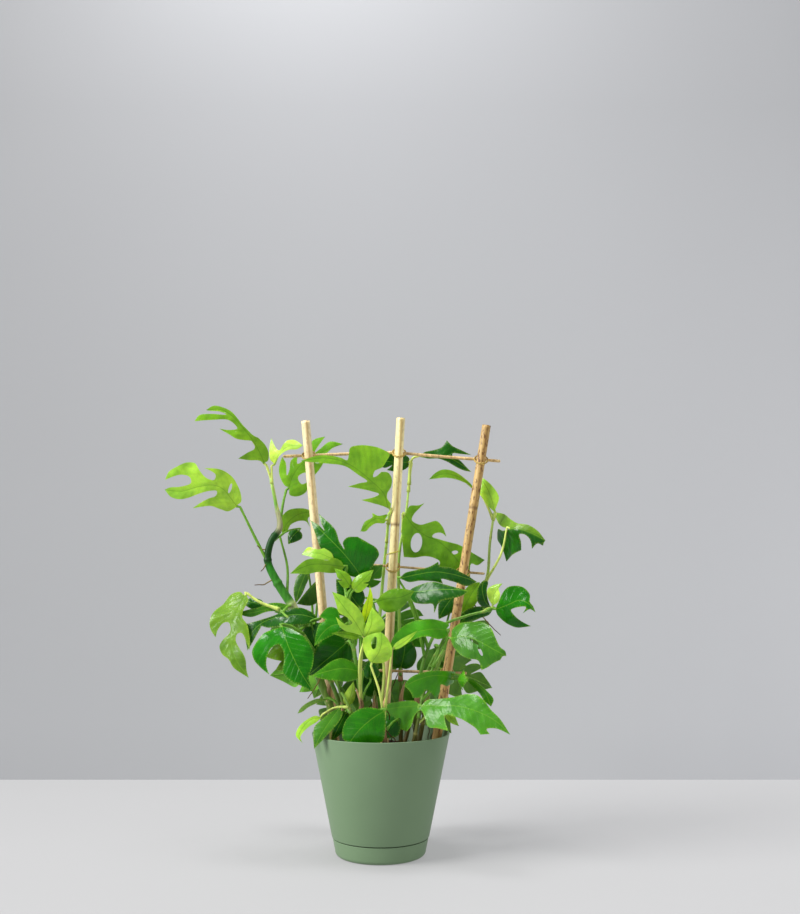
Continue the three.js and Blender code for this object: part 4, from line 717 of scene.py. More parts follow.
        stem="left_front", height=300, base=[-30, 316, -26], tip=[-60, 352, -20],
        one="whole", two="whole", wide=0.75, bend=(12, 4, 4, 1), tone="deep",
    ),
    "dark_core": dict(
        stem="centre_tall", height=190, base=[-8, 200, 38], tip=[-10, 246, 34],
        one="whole", two="one_cut", wide=0.9, bend=(-14, 5, 4, 1), tone="deep",
    ),
    "dark_right": dict(
        stem="centre_back", height=220, base=[26, 236, 30], tip=[32, 284, 26],
        one="whole", two="whole", wide=0.8, bend=(14, 5, 4, 1), tone="deep",
    ),
    "lip": dict(
        stem="pot_front", height=168, base=[4, 180, -72], tip=[-42, 138, -72],
        rib=[[-12, 170], [-30, 154]],
        one=[[-8, 184], [-24, 184], [-38, 177], [-48, 164], [-50, 146]],
        two=[[6, 170], [6, 156], [2, 142], [-16, 136], [-32, 136]],
        bend=(-4, 6, 5, 1), tone="rich",
    ),
    "lip_right": dict(
        stem="centre_front", height=160, base=[20, 168, -44], tip=[-8, 146, -52],
        one="whole", two="whole", wide=0.9, bend=(10, 3, 3, 1), tone="deep",
    ),
    "drape": dict(
        stem="pot_front", height=184, base=[-55, 183, -52], tip=[-87, 132, -62],
        rib=[[-66, 168], [-78, 150]],
        one=[[-62, 181], [-75, 171], [-87, 160], [-88, 146]],
        two=[[-50, 178], [-55, 166], [-64, 156], [-76, 143]],
        bend=(10, 5, 4, 1), tone="blue",
    ),
    "drape_dark": dict(
        stem="pot_front", height=172, base=[-46, 178, -38], tip=[-64, 142, -42],
        one="whole", two="whole", wide=0.5, bend=(-12, 3, 3, 1), tone="deep",
    ),
    "hook": dict(
        stem="pot_front", height=192, base=[-79, 172, -40], tip=[-102, 139, -50],
        rib=[[-92, 169], [-104, 156], [-107, 147]],
        one=[[-86, 174], [-97, 169], [-107, 160], [-111, 149]],
        two=[[-84, 166], [-94, 160], [-103, 151], [-105, 146]],
        bend=(6, 3, 2, 0), tone="lime",
    ),
    "sickle": dict(
        stem="left_low", height=190, base=[-74, 195, -28], tip=[-109, 177, -36],
        one=[[-84, 196], [-98, 190], [-106, 183]],
        two=[[-82, 191], [-95, 185], [-103, 179]],
        rib=[[-84, 193], [-97, 187]],
        bend=(4, 2, 1, 0), tone="grey",
    ),
    "light_strip": dict(
        stem="pot_front", height=186, base=[-44, 189, -44], tip=[-36, 218, -46],
        one="whole", two="whole", wide=0.5, bend=(14, 3, 2, 1), tone="pale",
    ),
}

# The leaves of the far side, which the photograph doesn't show: the stem, the height of the
# petiole, the base, the tip, the two halves, the width and the turn. Their bend is the same.
FAR_LEAVES = [
    ["back_left", 292, [-96, 300, 84], [-150, 262, 128], "two_cut", "three_cut", 0.85, 165],
    ["back_left", 262, [-66, 268, 88], [-88, 196, 124], "three_cut", "two_cut", 0.85, 190],
    ["back_left", 230, [-74, 236, 66], [-146, 226, 84], "two_cut", "one_cut", 0.75, 172],
    ["back_left", 205, [-46, 196, 70], [-78, 150, 112], "one_cut", "two_cut", 0.8, 184],
    ["back_mid", 288, [-8, 302, 98], [-62, 262, 142], "three_cut", "two_cut", 0.85, 172],
    ["back_mid", 284, [10, 304, 96], [58, 262, 138], "two_cut", "three_cut", 0.85, 188],
    ["back_mid", 240, [-14, 240, 100], [-34, 170, 136], "two_cut", "two_cut", 0.8, 186],
    ["back_mid", 214, [8, 216, 92], [30, 146, 128], "three_cut", "one_cut", 0.8, 176],
    ["back_right", 280, [98, 292, 94], [148, 262, 132], "three_cut", "two_cut", 0.85, 184],
    ["back_right", 256, [72, 262, 98], [104, 196, 130], "two_cut", "three_cut", 0.85, 172],
    ["back_right", 230, [84, 232, 78], [146, 210, 96], "one_cut", "two_cut", 0.75, 190],
    ["back_right", 206, [52, 196, 92], [92, 152, 130], "two_cut", "one_cut", 0.8, 180],
    ["centre_back", 250, [14, 262, 56], [-30, 206, 56], "one_cut", "two_cut", 0.75, 150],
    ["centre_tall", 300, [-22, 318, 52], [-50, 276, 74], "one_cut", "one_cut", 0.7, 160],
]
FAR_BEND = (9, 6, 3)
FAR_TONES = ["mid", "deep", "mid", "deep", "deep", "mid", "deep"]

# Each stake: its axis across at the soil's height, its top [across, up], where its knots are along
# it, its colour, and how many dark specks it has
STAKES = {
    "left": dict(foot=-60, top=(-104, 566), knots=(0.33, 0.62, 0.9),
                 straw=(0.98, 0.91, 0.72), specks=0.3),
    "middle": dict(foot=3, top=(26, 570), knots=(0.3, 0.72), straw=(0.99, 0.94, 0.7), specks=0.25),
    "right": dict(foot=71, top=(143, 560), knots=(0.28, 0.52, 0.78),
                  straw=(0.78, 0.66, 0.42), specks=0.95),
}
# Each bar: the places [across, up] that it passes, and its thickness beside the top bar's
BARS = {
    "top": dict(way=[(-135, 518.5), (-46, 522), (18, 524), (66, 519.5), (162, 512)], size=1.0, tone=1.0),
    "middle": dict(way=[(-86, 376), (26, 368), (139, 359)], size=0.8, tone=0.72),
    "low": dict(way=[(-74, 232), (20, 230), (114, 227)], size=0.9, tone=0.66),
}
TIES = [("top", "left"), ("top", "middle"), ("top", "right"), ("middle", "middle"),
        ("middle", "right"), ("low", "left"), ("low", "right")]


# Small helpers

def unit(v):
    return v / np.linalg.norm(v)


def mix(a, b, share):
    return a + (b - a) * share


def hill(off, width):
    """1 where off is 0, and next to nothing at twice the width."""
    return np.exp(-(off / width) ** 2)


def linear(colour):
    """sRGB shares as linear light."""
    c = np.asarray(colour, float)
    return np.where(c <= 0.04045, c / 12.92, ((c + 0.055) / 1.055) ** 2.4)


def paint(colour):
    """sRGB shares as an opaque linear colour, for a socket."""
    return (*linear(colour), 1)


def seen(place):
    """A place on the ladder's plane as the eye sees it, moved along the ray to its depth."""
    across, up, depth = (list(place) + [0])[:3]
    on_plane = np.array([across, 0.0, up])
    return EYE + (on_plane - EYE) * ((depth - EYE[1]) / -EYE[1])


def catmull(points, count):
    """The centripetal Catmull-Rom curve through points, as count + 1 places."""
    pts = [np.asarray(p, float) for p in points]
    pts = [2 * pts[0] - pts[1], *pts, 2 * pts[-1] - pts[-2]]
    out = []
    for i in range(count + 1):
        place = (len(points) - 1) * i / count
        k = min(int(place), len(points) - 2)
        w = place - k
        p0, p1, p2, p3 = pts[k:k + 4]
        d0, d1, d2 = (max(np.linalg.norm(b - a), 1e-6) ** 0.5 for a, b in ((p0, p1), (p1, p2), (p2, p3)))
        t1 = ((p1 - p0) / d0 - (p2 - p0) / (d0 + d1) + (p2 - p1) / d1) * d1
        t2 = ((p2 - p1) / d1 - (p3 - p1) / (d1 + d2) + (p3 - p2) / d2) * d1
        out.append(p1 + t1 * w + (-3 * p1 + 3 * p2 - 2 * t1 - t2) * w * w
                   + (2 * p1 - 2 * p2 + t1 + t2) * w ** 3)
    return np.array(out)


def lengths(points):
    """How far along a curve each of its points is."""
    return np.concatenate([[0], np.cumsum(np.linalg.norm(np.diff(points, axis=0), axis=1))])


def gap_to(points, others):
    """How far each point is from the nearest of the others."""
    return np.sqrt(((points[:, None, :] - others[None, :, :]) ** 2).sum(axis=2)).min(axis=1)


def wobble(way, grain):
    """A random shift for each place, alike for places nearer than the grain."""
    return np.array([noise.noise_vector(Vector(p / grain)) for p in way])


def circle(count):
    return 2 * math.pi * np.arange(count) / count


def tube_faces(rings, sides):
    """The faces of a closed tube, ring by ring, and its two ends."""
    faces = []
    for i in range(rings - 1):
        for k in range(sides):
            n = (k + 1) % sides
            faces.append((i * sides + k, i * sides + n, (i + 1) * sides + n, (i + 1) * sides + k))
    last = (rings - 1) * sides
    return [*faces, tuple(range(sides - 1, -1, -1)), tuple(last + k for k in range(sides))]


def tube(points, radii, sides, first=None):
    """Points and faces of a closed tube, with a radius for each point."""
    points = np.asarray(points, float)
    across = np.array([0.0, 1.0, 0.0]) if first is None else np.asarray(first, float)
    angles = circle(sides)
    rings = []
    for i, point in enumerate(points):
        along = unit(points[min(i + 1, len(points) - 1)] - points[max(i - 1, 0)])
        across = unit(across - along * across.dot(along))
        other = np.cross(along, across)
        ring = np.outer(np.cos(angles), across) + np.outer(np.sin(angles), other)
        rings.append(point + radii[i] * ring)
    return np.concatenate(rings), tube_faces(len(points), sides)


def tube_straight(way, radii, sides, axis):
    """A tube whose rings all stand square to one axis, slightly out of round."""
    across = unit(np.array([0.0, 1.0, 0.0]) - axis * axis[1])
    other = np.cross(axis, across)
    angles = circle(sides)
    ring = np.outer(np.cos(angles), across) + np.outer(np.sin(angles), other)
    ring = ring * (1 + OUT_OF_ROUND * np.sin(3 * angles))[:, None]
    return np.concatenate([p + r * ring for p, r in zip(way, radii)]), tube_faces(len(way), sides)


def lathe(profile, sides):
    """Points and faces of a turned body whose profile starts and ends on the axis."""
    points = [[0, 0, profile[0][1]]]
    for radius, height in profile[1:-1]:
        points += [[radius * math.cos(a), radius * math.sin(a), height] for a in circle(sides)]
    points.append([0, 0, profile[-1][1]])
    last = len(points) - 1
    faces = []
    rings = len(profile) - 2
    for k in range(sides):
        n = (k + 1) % sides
        faces.append((0, 1 + n, 1 + k))
        for i in range(rings - 1):
            a = 1 + i * sides
            faces.append((a + k, a + n, a + sides + n, a + sides + k))
        top = 1 + (rings - 1) * sides
        faces.append((top + k, top + n, last))
    return points, faces


class Pieces:
    """Points, faces and per-point values gathered for one mesh."""

    def __init__(self):
        self.points, self.faces, self.tone, self.blade, self.sharp = [], [], [], [], []
        self.count = 0

    def add(self, points, faces, tone=PLAIN_TONE, blade=None, sharp=()):
        points = np.asarray(points, float)
        n = len(points)
        self.points.append(points)
        self.faces += [tuple(int(i) + self.count for i in f) for f in faces]
        self.sharp += [(int(a) + self.count, int(b) + self.count) for a, b in sharp]
        self.tone.append(np.broadcast_to(np.asarray(tone, float), (n, 4)))
        self.blade.append(np.zeros((n, 2)) if blade is None else np.asarray(blade, float))
        self.count += n

    def add_tube(self, way, radii, sides, colour=PLAIN_TONE[:3], rough=PLAIN_TONE[3], first=None):
        """A closed tube with one colour, or one for each place on its way."""
        points, faces = tube(way, radii, sides, first)
        self.add(points, faces, ring_tones(colour, rough, len(way), sides))

    def build(self, name, material, slot, *nodes):
        mesh = bpy.data.meshes.new(name)
        mesh.from_pydata((np.concatenate(self.points) * MM).tolist(), [], self.faces)
        mesh.polygons.foreach_set("use_smooth", [True] * len(mesh.polygons))
        tone = mesh.color_attributes.new("tone", "FLOAT_COLOR", "POINT")
        tone.data.foreach_set("color", np.concatenate(self.tone).ravel())
        corners = np.empty(len(mesh.loops), int)
        mesh.loops.foreach_get("vertex_index", corners)
        uv = mesh.uv_layers.new(name="blade")
        uv.data.foreach_set("uv", np.concatenate(self.blade)[corners].ravel())
        if self.sharp:
            edges = np.empty(2 * len(mesh.edges), int)
            mesh.edges.foreach_get("vertices", edges)
            wanted = {(min(e), max(e)) for e in self.sharp}
            hard = [(min(a, b), max(a, b)) in wanted for a, b in edges.reshape(-1, 2).tolist()]
            mesh.attributes.new("sharp_edge", "BOOLEAN", "EDGE").data.foreach_set("value", hard)
        mesh.update()
        mesh.materials.append(material)
        piece = bpy.data.objects.new(name, mesh)
        bpy.context.scene.collection.objects.link(piece)
        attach(piece, "root")
        if nodes:
            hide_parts(*nodes)
        return piece


def ring_tones(colour, rough, rings, sides):
    """The colour and roughness of each ring, given to each of its points."""
    tone = np.hstack([np.broadcast_to(colour, (rings, 3)), np.full((rings, 1), rough)])
    return np.repeat(tone, sides, axis=0)


# Materials

class Tree:
    """A material's node tree, with short calls to add and join nodes."""

    def __init__(self, name):
        self.material = bpy.data.materials.new(name)
        self.material.use_nodes = True
        self.nodes = self.material.node_tree.nodes
        self.links = self.material.node_tree.links
        self.shader = self.nodes["Principled BSDF"]

    def add(self, kind, inputs=None, **settings):
        node = self.nodes.new("ShaderNode" + kind)
        for key, value in settings.items():
            setattr(node, key, value)
        self.feed(node, inputs or {})
        return node

    def feed(self, node, inputs):
        for key, value in inputs.items():
            if isinstance(value, bpy.types.NodeSocket):
                self.links.new(value, node.inputs[key])
            else:
                node.inputs[key].default_value = value

    def math(self, operation, a, b=0.0):
        return self.add("Math", {0: a, 1: b}, operation=operation).outputs[0]

    def times(self, a, b):
        return self.math("MULTIPLY", a, b)

    def plus(self, a, b):
        return self.math("ADD", a, b)

    def spread(self, value, low, high, to_low=0.0, to_high=1.0, kind="SMOOTHSTEP"):
        """A value between low and high, spread over another range."""
        node = self.add("MapRange", {"Value": value, "From Min": low, "From Max": high,
                                     "To Min": to_low, "To Max": to_high}, interpolation_type=kind)
        return node.outputs["Result"]

    def blend(self, share, a, b, kind="MIX"):
        node = self.add("Mix", {0: share, 6: a, 7: b}, data_type="RGBA", blend_type=kind)
        return node.outputs[2]

    def tint(self, colour, shares):
        return self.blend(1.0, colour, (*shares, 1), "MULTIPLY")

    def ramp(self, value, low, high):
        """A colour that runs from low to high over the middle of a noise's range."""
        node = self.add("ValToRGB", {0: value})
        for stop, place, colour in zip(node.color_ramp.elements, (0.3, 0.7), (low, high)):
            stop.position = place
            stop.color = paint(colour)
        return node.outputs[0]

    def place(self, scale=(1, 1, 1)):
        spot = self.add("TexCoord").outputs["Object"]
        return self.add("Mapping", {"Vector": spot, "Scale": scale}).outputs[0]

    def noise(self, vector, scale, detail=3.0, rough=0.5):
        node = self.add("TexNoise", {"Vector": vector, "Scale": scale, "Detail": detail,
                                     "Roughness": rough})
        return node.outputs["Fac"]

    def stretched(self, scale, detail=3.0, rough=0.5):
        """Noise with its own scale along X, Y and Z."""
        return self.noise(self.place(scale), 1.0, detail, rough)

    def bump(self, height, strength, distance):
        return self.add("Bump", {"Height": height, "Strength": strength, "Distance": distance}).outputs[0]

    def tone(self):
        """The colour and the fourth value that the mesh holds at each point."""
        node = self.add("Attribute", attribute_name="tone")
        return node.outputs["Color"], node.outputs["Alpha"]


def vein_mask(t, along, across, spot):
    """Side veins that leave the midrib aslant, a little uneven and fainter towards the margin."""
    off = t.math("ABSOLUTE", across)
    side = t.math("SIGN", across)
    phase = t.math("DIVIDE", t.math("SUBTRACT", along, t.times(off, VEIN_SLANT)), VEIN_SPACING / BLADE_UNIT)
    phase = t.plus(phase, t.times(side, VEIN_SHIFT))
    phase = t.plus(phase, t.times(t.noise(spot, 60, 2), 0.5))
    near = t.math("ABSOLUTE", t.math("SUBTRACT", t.math("FRACT", phase), 0.5))
    line = t.spread(near, 0.0, 0.06, 1.0, 0.0)
    return t.times(line, t.spread(off, 0.1, 2.4, 1.0, 0.3)), t.spread(off, *RIB_HALF, 1.0, 0.0)


def leaf_material():
    t = Tree("leaf_blade")
    base, waxed = t.tone()
    split = t.add("SeparateXYZ", {0: t.add("UVMap", uv_map="blade").outputs[0]})
    spot = t.place()
    vein, rib = vein_mask(t, split.outputs[0], split.outputs[1], spot)
    cells = t.add("TexVoronoi", {"Vector": spot, "Scale": 420.0}, feature="DISTANCE_TO_EDGE")
    net = t.spread(cells.outputs["Distance"], 0.0, 0.12, 1.0, 0.0)
    patch = t.noise(spot, 55, 4, 0.6)
    fine = t.noise(spot, 700, 2)
    colour = t.blend(t.spread(patch, 0.32, 0.7), t.tint(base, (0.62, 0.72, 0.62)),
                     t.tint(base, (1.75, 1.5, 1.15)))
    colour = t.blend(0.55, colour, base)
    # the veins are paler than an old blade and darker than a young one
    young = t.spread(t.add("SeparateColor", {0: base}).outputs["Green"], *YOUNG_GREEN)
    sap = t.blend(young, t.blend(0.75, base, paint(SAP)), t.tint(base, (0.46, 0.58, 0.4)))
    for mask, strength in ((vein, 0.2), (net, 0.08), (rib, 0.7)):
        colour = t.blend(t.times(mask, strength), colour, sap)
    rough = t.plus(waxed, t.times(t.math("SUBTRACT", fine, 0.5), 0.12))
    rough = t.plus(rough, t.times(patch, 0.08))
    height = t.plus(t.plus(t.times(vein, -0.5), t.times(net, -0.25)), t.times(fine, 0.2))
    wax = t.plus(t.noise(spot, 150, 3, 0.6), t.times(vein, -0.4))
    t.feed(t.shader, {
        "Base Color": colour, "Roughness": rough, "Normal": t.bump(height, 0.35, 0.0004),
        "Specular IOR Level": 0.12, "Subsurface Weight": 0.25, "Subsurface Radius": (0.6, 1.0, 0.1),
        "Subsurface Scale": 0.0012, "Coat Weight": 0.26, "Coat Roughness": 0.08,
        "Coat Normal": t.bump(wax, 0.5, 0.0012),
    })
    return t.material


def vine_material():
    t = Tree("vine")
    base, rough = t.tone()
    streak = t.stretched((260, 260, 30), 3, 0.6)
    fleck = t.noise(t.place(), 900, 2)
    colour = t.blend(t.spread(streak, 0.3, 0.7), t.tint(base, (0.6, 0.66, 0.55)),
                     t.tint(base, (1.5, 1.4, 1.3)))
    t.feed(t.shader, {
        "Base Color": t.blend(0.4, colour, base), "Roughness": rough,
        "Normal": t.bump(t.plus(streak, t.times(fleck, 0.4)), 0.4, 0.0004), "Specular IOR Level": 0.25,
        "Subsurface Weight": 0.15, "Subsurface Radius": (0.5, 1.0, 0.2), "Subsurface Scale": 0.001,
    })
    return t.material


def pot_material():
    t = Tree("pot_plastic")
    spot = t.place()
    cloud = t.noise(spot, 14, 3)
    grain = t.noise(spot, 2400, 2)
    scuff = t.spread(t.stretched((40, 40, 320), 5, 0.7), 0.66, 0.8)
    colour = t.blend(t.times(scuff, 0.12), t.ramp(cloud, *SAGE), paint(SAGE_SCUFF))
    rough = t.plus(t.plus(t.times(cloud, 0.12), t.times(scuff, 0.1)), 0.42)
    t.feed(t.shader, {"Base Color": colour, "Roughness": rough, "Normal": t.bump(grain, 0.12, 0.0002),
                      "Specular IOR Level": 0.4})
    return t.material


def bamboo_material():
    t = Tree("bamboo")
    base, specks = t.tone()
    fibre = t.stretched((420, 420, 9), 4, 0.65)
    cloud = t.stretched((30, 30, 10))
    spots = t.spread(t.stretched((300, 300, 120), 4, 0.65), 0.53, 0.61)
    dark = t.tint(base, (0.62, 0.5, 0.36))
    colour = t.blend(t.times(t.spread(fibre, 0.42, 0.66), 0.5), base, dark)
    colour = t.blend(t.times(t.spread(cloud, 0.5, 0.75), 0.35), colour, dark)
    colour = t.blend(t.times(spots, specks), colour, paint(SPECK))
    t.feed(t.shader, {"Base Color": colour, "Roughness": t.plus(t.times(fibre, 0.25), 0.38),
                      "Normal": t.bump(fibre, 0.3, 0.0004)})
    return t.material


def plain_material(name, dark, light, rough, bump):
    """A mottled matte material: wire or twine."""
    t = Tree(name)
    spot = t.place()
    patch = t.noise(spot, 300, 5, 0.65)
    fine = t.noise(spot, 2100, 3)
    colour = t.ramp(t.plus(t.times(patch, 0.75), t.times(fine, 0.25)), dark, light)
    t.feed(t.shader, {"Base Color": colour, "Roughness": rough, "Normal": t.bump(fine, bump, 0.0008)})
    return t.material


def soil_material():
    """Dark peat with chips of bark, whose colour is in the mesh."""
    t = Tree("soil")
    base, _ = t.tone()
    fine = t.noise(t.place(), 900, 4, 0.7)
    colour = t.blend(t.spread(fine, 0.35, 0.65), t.tint(base, (0.4, 0.38, 0.35)), base)
    t.feed(t.shader, {"Base Color": colour, "Roughness": 0.9, "Normal": t.bump(fine, 0.8, 0.001)})
    return t.material


# Leaves

def frame_of(leaf):
    """Where a leaf's chord lies, and which way its face looks."""
    base = seen(leaf["base"])
    chord = seen(leaf["tip"]) - base
    length = np.linalg.norm(chord)
    along = chord / length
    face = EYE - base
    face = face / np.linalg.norm(face)
    face = unit(face - along * face.dot(along))
    turn, arch, droop, wave = leaf["bend"]
    roll = math.radians(turn)
    up = face * math.cos(roll) + np.cross(along, face) * math.sin(roll)
    return dict(base=base, length=length, along=along, up=up, out=np.cross(along, up), leaf=leaf,
                arch=arch, droop=droop, wave=wave)


def rise(f, s, r):
    """How far the blade stands off its chord's plane."""
    u = s / f["length"]
    v = r / (HALF_WIDTH * f["length"])
    spread = v * v / (1 + 0.5 * v * v)
    wave = f["wave"] * np.sin(2 * math.pi * (WAVES * u + 0.1 * f["arch"])) * spread
    return f["arch"] * 4 * u * (1 - u) - f["droop"] * spread + wave


def on_blade(f, place):
    """Where the line of sight to a place on the ladder's plane meets the bent blade."""
    sight = np.array([place[0], 0.0, place[1]]) - EYE
    reach = (f["base"] - EYE).dot(f["up"])
    slope = sight.dot(f["up"])
    s = r = 0.0
    for _ in range(6):
        off = sight * ((reach + rise(f, s, r)) / slope) + EYE - f["base"]
        s, r = off.dot(f["along"]), off.dot(f["out"])
    return np.array([s, r])


def half_of(f, half, side):
    """A margin's points and which of them are pointed ends."""
    if isinstance(half, str):
        half = HALVES[half]
        width = f["leaf"]["wide"] * f["length"] / 2
        points = [np.array([p[0] * f["length"], side * p[1] * width]) for p in half]
    else:
        points = [on_blade(f, p) for p in half]
    return points, [len(p) > 2 for p in half]


def smooth(points, step):
    """A smooth flat curve through points, in steps of about that length."""
    points = np.asarray(points)
    if len(points) < 3:
        count = max(int(np.linalg.norm(points[-1] - points[0]) / step), 1)
        return points[0] + np.outer(np.linspace(0, 1, count + 1), points[-1] - points[0])
    fine = catmull(points, 12 * (len(points) - 1))
    gone = lengths(fine)
    count = max(int(gone[-1] / step), 2)
    places = np.linspace(0, gone[-1], count + 1)
    return np.column_stack([np.interp(places, gone, fine[:, k]) for k in (0, 1)])


def margin_curve(f, half, side, neck, tip):
    """One side of the outline, smooth from each pointed end to the next."""
    points, ends = half_of(f, half, side)
    points = [neck, *points, tip]
    ends = [True, *ends, True]
    out = []
    start = 0
    for i in range(1, len(points)):
        if ends[i]:
            out.append(smooth(points[start:i + 1], MARGIN_STEP)[:-1])
            start = i
    return np.concatenate(out)


def inside(points, polygon):
    """Which points lie in a polygon."""
    x, y = points[:, 0], points[:, 1]
    odd = np.zeros(len(points), bool)
    for (ax, ay), (bx, by) in zip(polygon, np.roll(polygon, -1, axis=0)):
        if ay != by:
            odd ^= ((ay > y) != (by > y)) & (x < ax + (y - ay) / (by - ay) * (bx - ax))
    return odd


def hole_curve(f, hole):
    """The outline of an oval hole: its middle, length, width and tilt."""
    across, up, length, width, tilt = hole
    turn = math.radians(tilt)
    angles = circle(HOLE_SIDES)
    return np.array([on_blade(f, (across + x * math.cos(turn) - y * math.sin(turn),
                                  up + x * math.sin(turn) + y * math.cos(turn)))
                     for x, y in zip(np.cos(angles) * length / 2, np.sin(angles) * width / 2)])


def rib_curve(f):
    """The midrib, through the leaf's own points or in a slight bow."""
    length = f["length"]
    points = [on_blade(f, p) for p in f["leaf"].get("rib", [])]
    if not points:
        points = [np.array([u * length, 0.02 * length * math.sin(math.pi * u)]) for u in (0.3, 0.65)]
    return smooth([np.zeros(2), *points, np.array([length, 0.0])], GRID_STEP)


def beside(points, curve):
    """How far along a curve each point is, and how far off it, with a sign for the side."""
    gone = lengths(curve)
    gap = points[:, None, :] - curve[None, :, :]
    near = np.argmin((gap ** 2).sum(axis=2), axis=1)
    near = np.clip(near, 1, len(curve) - 2)
    way = curve[near + 1] - curve[near - 1]
    way /= np.linalg.norm(way, axis=1)[:, None]
    off = points - curve[near]
    along = gone[near] + (off * way).sum(axis=1)
    across = way[:, 0] * off[:, 1] - way[:, 1] * off[:, 0]
    return along, across


def grid_in(outline, walls):
    """Evenly spread points in an outline, none close to a wall."""
    low, high = outline.min(axis=0), outline.max(axis=0)
    rows = np.arange(low[1], high[1], GRID_STEP * 0.866)
    grid = np.array([[x + (GRID_STEP / 2 if k % 2 else 0), y] for k, y in enumerate(rows)
                     for x in np.arange(low[0], high[0], GRID_STEP)])
    grid = grid[inside(grid, outline)]
    return grid[gap_to(grid, walls) > 0.55 * GRID_STEP]


def flat_blade(f):
    """The blade as a flat mesh: its points and triangles, its midrib and its outline."""
    leaf = f["leaf"]
    tip = np.array([f["length"], 0.0])
    halves = [(leaf["one"], -1), (leaf["two"], 1)]
    halves.sort(key=lambda h: np.mean([p[1] for p in half_of(f, *h)[0]]))
    low, high = (margin_curve(f, *half, np.array([-0.4, edge]), tip)
                 for half, edge in zip(halves, (-1.0, 1.0)))
    outline = np.concatenate([low, [tip], high[::-1]])
    holes = [hole_curve(f, hole) for hole in leaf.get("holes", [])]
    rib = rib_curve(f)
    grid = grid_in(outline, np.concatenate([outline, rib, *holes]))
    inner_rib = rib[1:-1]
    inner_rib = inner_rib[inside(inner_rib, outline)]
    points = np.concatenate([outline, *holes, inner_rib, grid])
    edges = []
    start = 0
    for loop in [outline, *holes]:
        n = len(loop)
        edges += [(start + i, start + (i + 1) % n) for i in range(n)]
        start += n
    edges += [(start + i, start + i + 1) for i in range(len(inner_rib) - 1)]
    flat, _, faces, *_ = delaunay_2d_cdt([Vector(p) for p in points], edges, [], 0, 1e-4)
    flat = np.array([tuple(p) for p in flat])
    faces = np.array([tuple(t) for t in faces])
    middle = flat[faces].mean(axis=1)
    keep = inside(middle, outline)
    for hole in holes:
        keep &= ~inside(middle, hole)
    used, faces = np.unique(faces[keep], return_inverse=True)
    faces = faces.reshape(-1, 3)
    flat = flat[used]
    a, b, c = flat[faces[:, 0]], flat[faces[:, 1]], flat[faces[:, 2]]
    area = (b[:, 0] - a[:, 0]) * (c[:, 1] - a[:, 1]) - (b[:, 1] - a[:, 1]) * (c[:, 0] - a[:, 0])
    faces[area < 0] = faces[area < 0][:, ::-1]
    return flat, faces[np.abs(area) > 1e-6], rib, outline


def relief(f, flat, along, across, outline, seed):
    """Fine form on the blade's own: raised quilting, a groove on the midrib and a soft ripple."""
    off = np.abs(across)
    phase = (along - VEIN_SLANT * off) / VEIN_SPACING + VEIN_SHIFT * np.sign(across)
    quilt = QUILT * (1 - np.abs(np.cos(math.pi * phase)) ** 3)
    quilt *= np.clip(off / 6, 0, 1) * np.clip(gap_to(flat, outline[::2]) / 4, 0, 1)
    groove = -RIB_GROOVE * hill(off, 1.3)
    ripple = np.array([noise.noise(Vector((s / 15, r / 15, seed * 3.7))) for s, r in flat])
    curl = np.array([noise.noise(Vector((s / 30, r / 30, seed * 1.3 + 9))) for s, r in flat])
    edge = np.clip(off / (0.3 * f["length"]), 0, 1) ** 1.5
    return quilt + groove + RIPPLE * ripple + CURL * curl * edge


def blade_place(f, s, r, lift):
    return (f["base"] + np.outer(s, f["along"]) + np.outer(r, f["out"])
            + np.outer(rise(f, s, r) + lift, f["up"]))


def blade_tones(f, flat, along, across, outline, seed):
    """Colour and roughness of the blade's upper points, then of its lower ones."""
    tones = f["leaf"]["tone"]
    tones = [tones, tones] if isinstance(tones, str) else tones
    (left, left_rough), (right, right_rough) = (TONES[t] for t in tones)
    share = np.clip(across / 4 + 0.5, 0, 1)[:, None]
    colour = mix(linear(left), linear(right), share)
    u = np.clip(along / f["length"], 0, 1)[:, None]
    shift = 1 + 0.12 * math.sin(seed * 2.4)
    fade = np.array(BASE_LIGHT) * (1 - u) + np.array(TIP_LIGHT) * u
    colour = np.clip(colour * fade * shift, 0, 1)
    rim = hill(gap_to(flat, outline[::2]), 0.9)[:, None]
    colour = mix(colour, linear(MARGIN), 0.3 * rim)
    rough = mix(left_rough, right_rough, share)
    below = mix(colour, linear(UNDERSIDE), 0.42)
    return np.concatenate([np.hstack([colour, rough]), np.hstack([below, rough + 0.14])])


def add_blade(pieces, f, seed):
    """A thin curved blade. Gives back its midrib, flat, and the relief along it."""
    flat, faces, rib, outline = flat_blade(f)
    along, across = beside(flat, rib)
    lift = relief(f, flat, along, across, outline, seed)
    half = BLADE_THICKNESS / 2
    s, r = flat[:, 0], flat[:, 1]
    top = blade_place(f, s, r, lift + half)
    under = blade_place(f, s, r, lift - half)
    n = len(flat)
    faces = faces.tolist()
    edges = dict.fromkeys(e for a, b, c in faces for e in ((a, b), (b, c), (c, a)))
    rim = [(a, b) for a, b in edges if (b, a) not in edges]
    solid = [(a, c, b) for a, b, c in faces]
    solid += [(a + n, b + n, c + n) for a, b, c in faces]
    solid += [(a, b, b + n, a + n) for a, b in rim]
    sharp = rim + [(a + n, b + n) for a, b in rim]
    tone = blade_tones(f, flat, along, across, outline, seed)
    blade = np.column_stack([along, across]) / BLADE_UNIT
    pieces.add(np.concatenate([top, under]), solid, tone, np.concatenate([blade, blade]), sharp)
    return rib, relief(f, rib, lengths(rib), np.zeros(len(rib)), outline, seed)


# Stems, petioles and roots

def at_height(curve, height):
    above = np.nonzero(curve[:, 2] >= height)[0]
    return curve[above[0]] if len(above) else curve[-1]


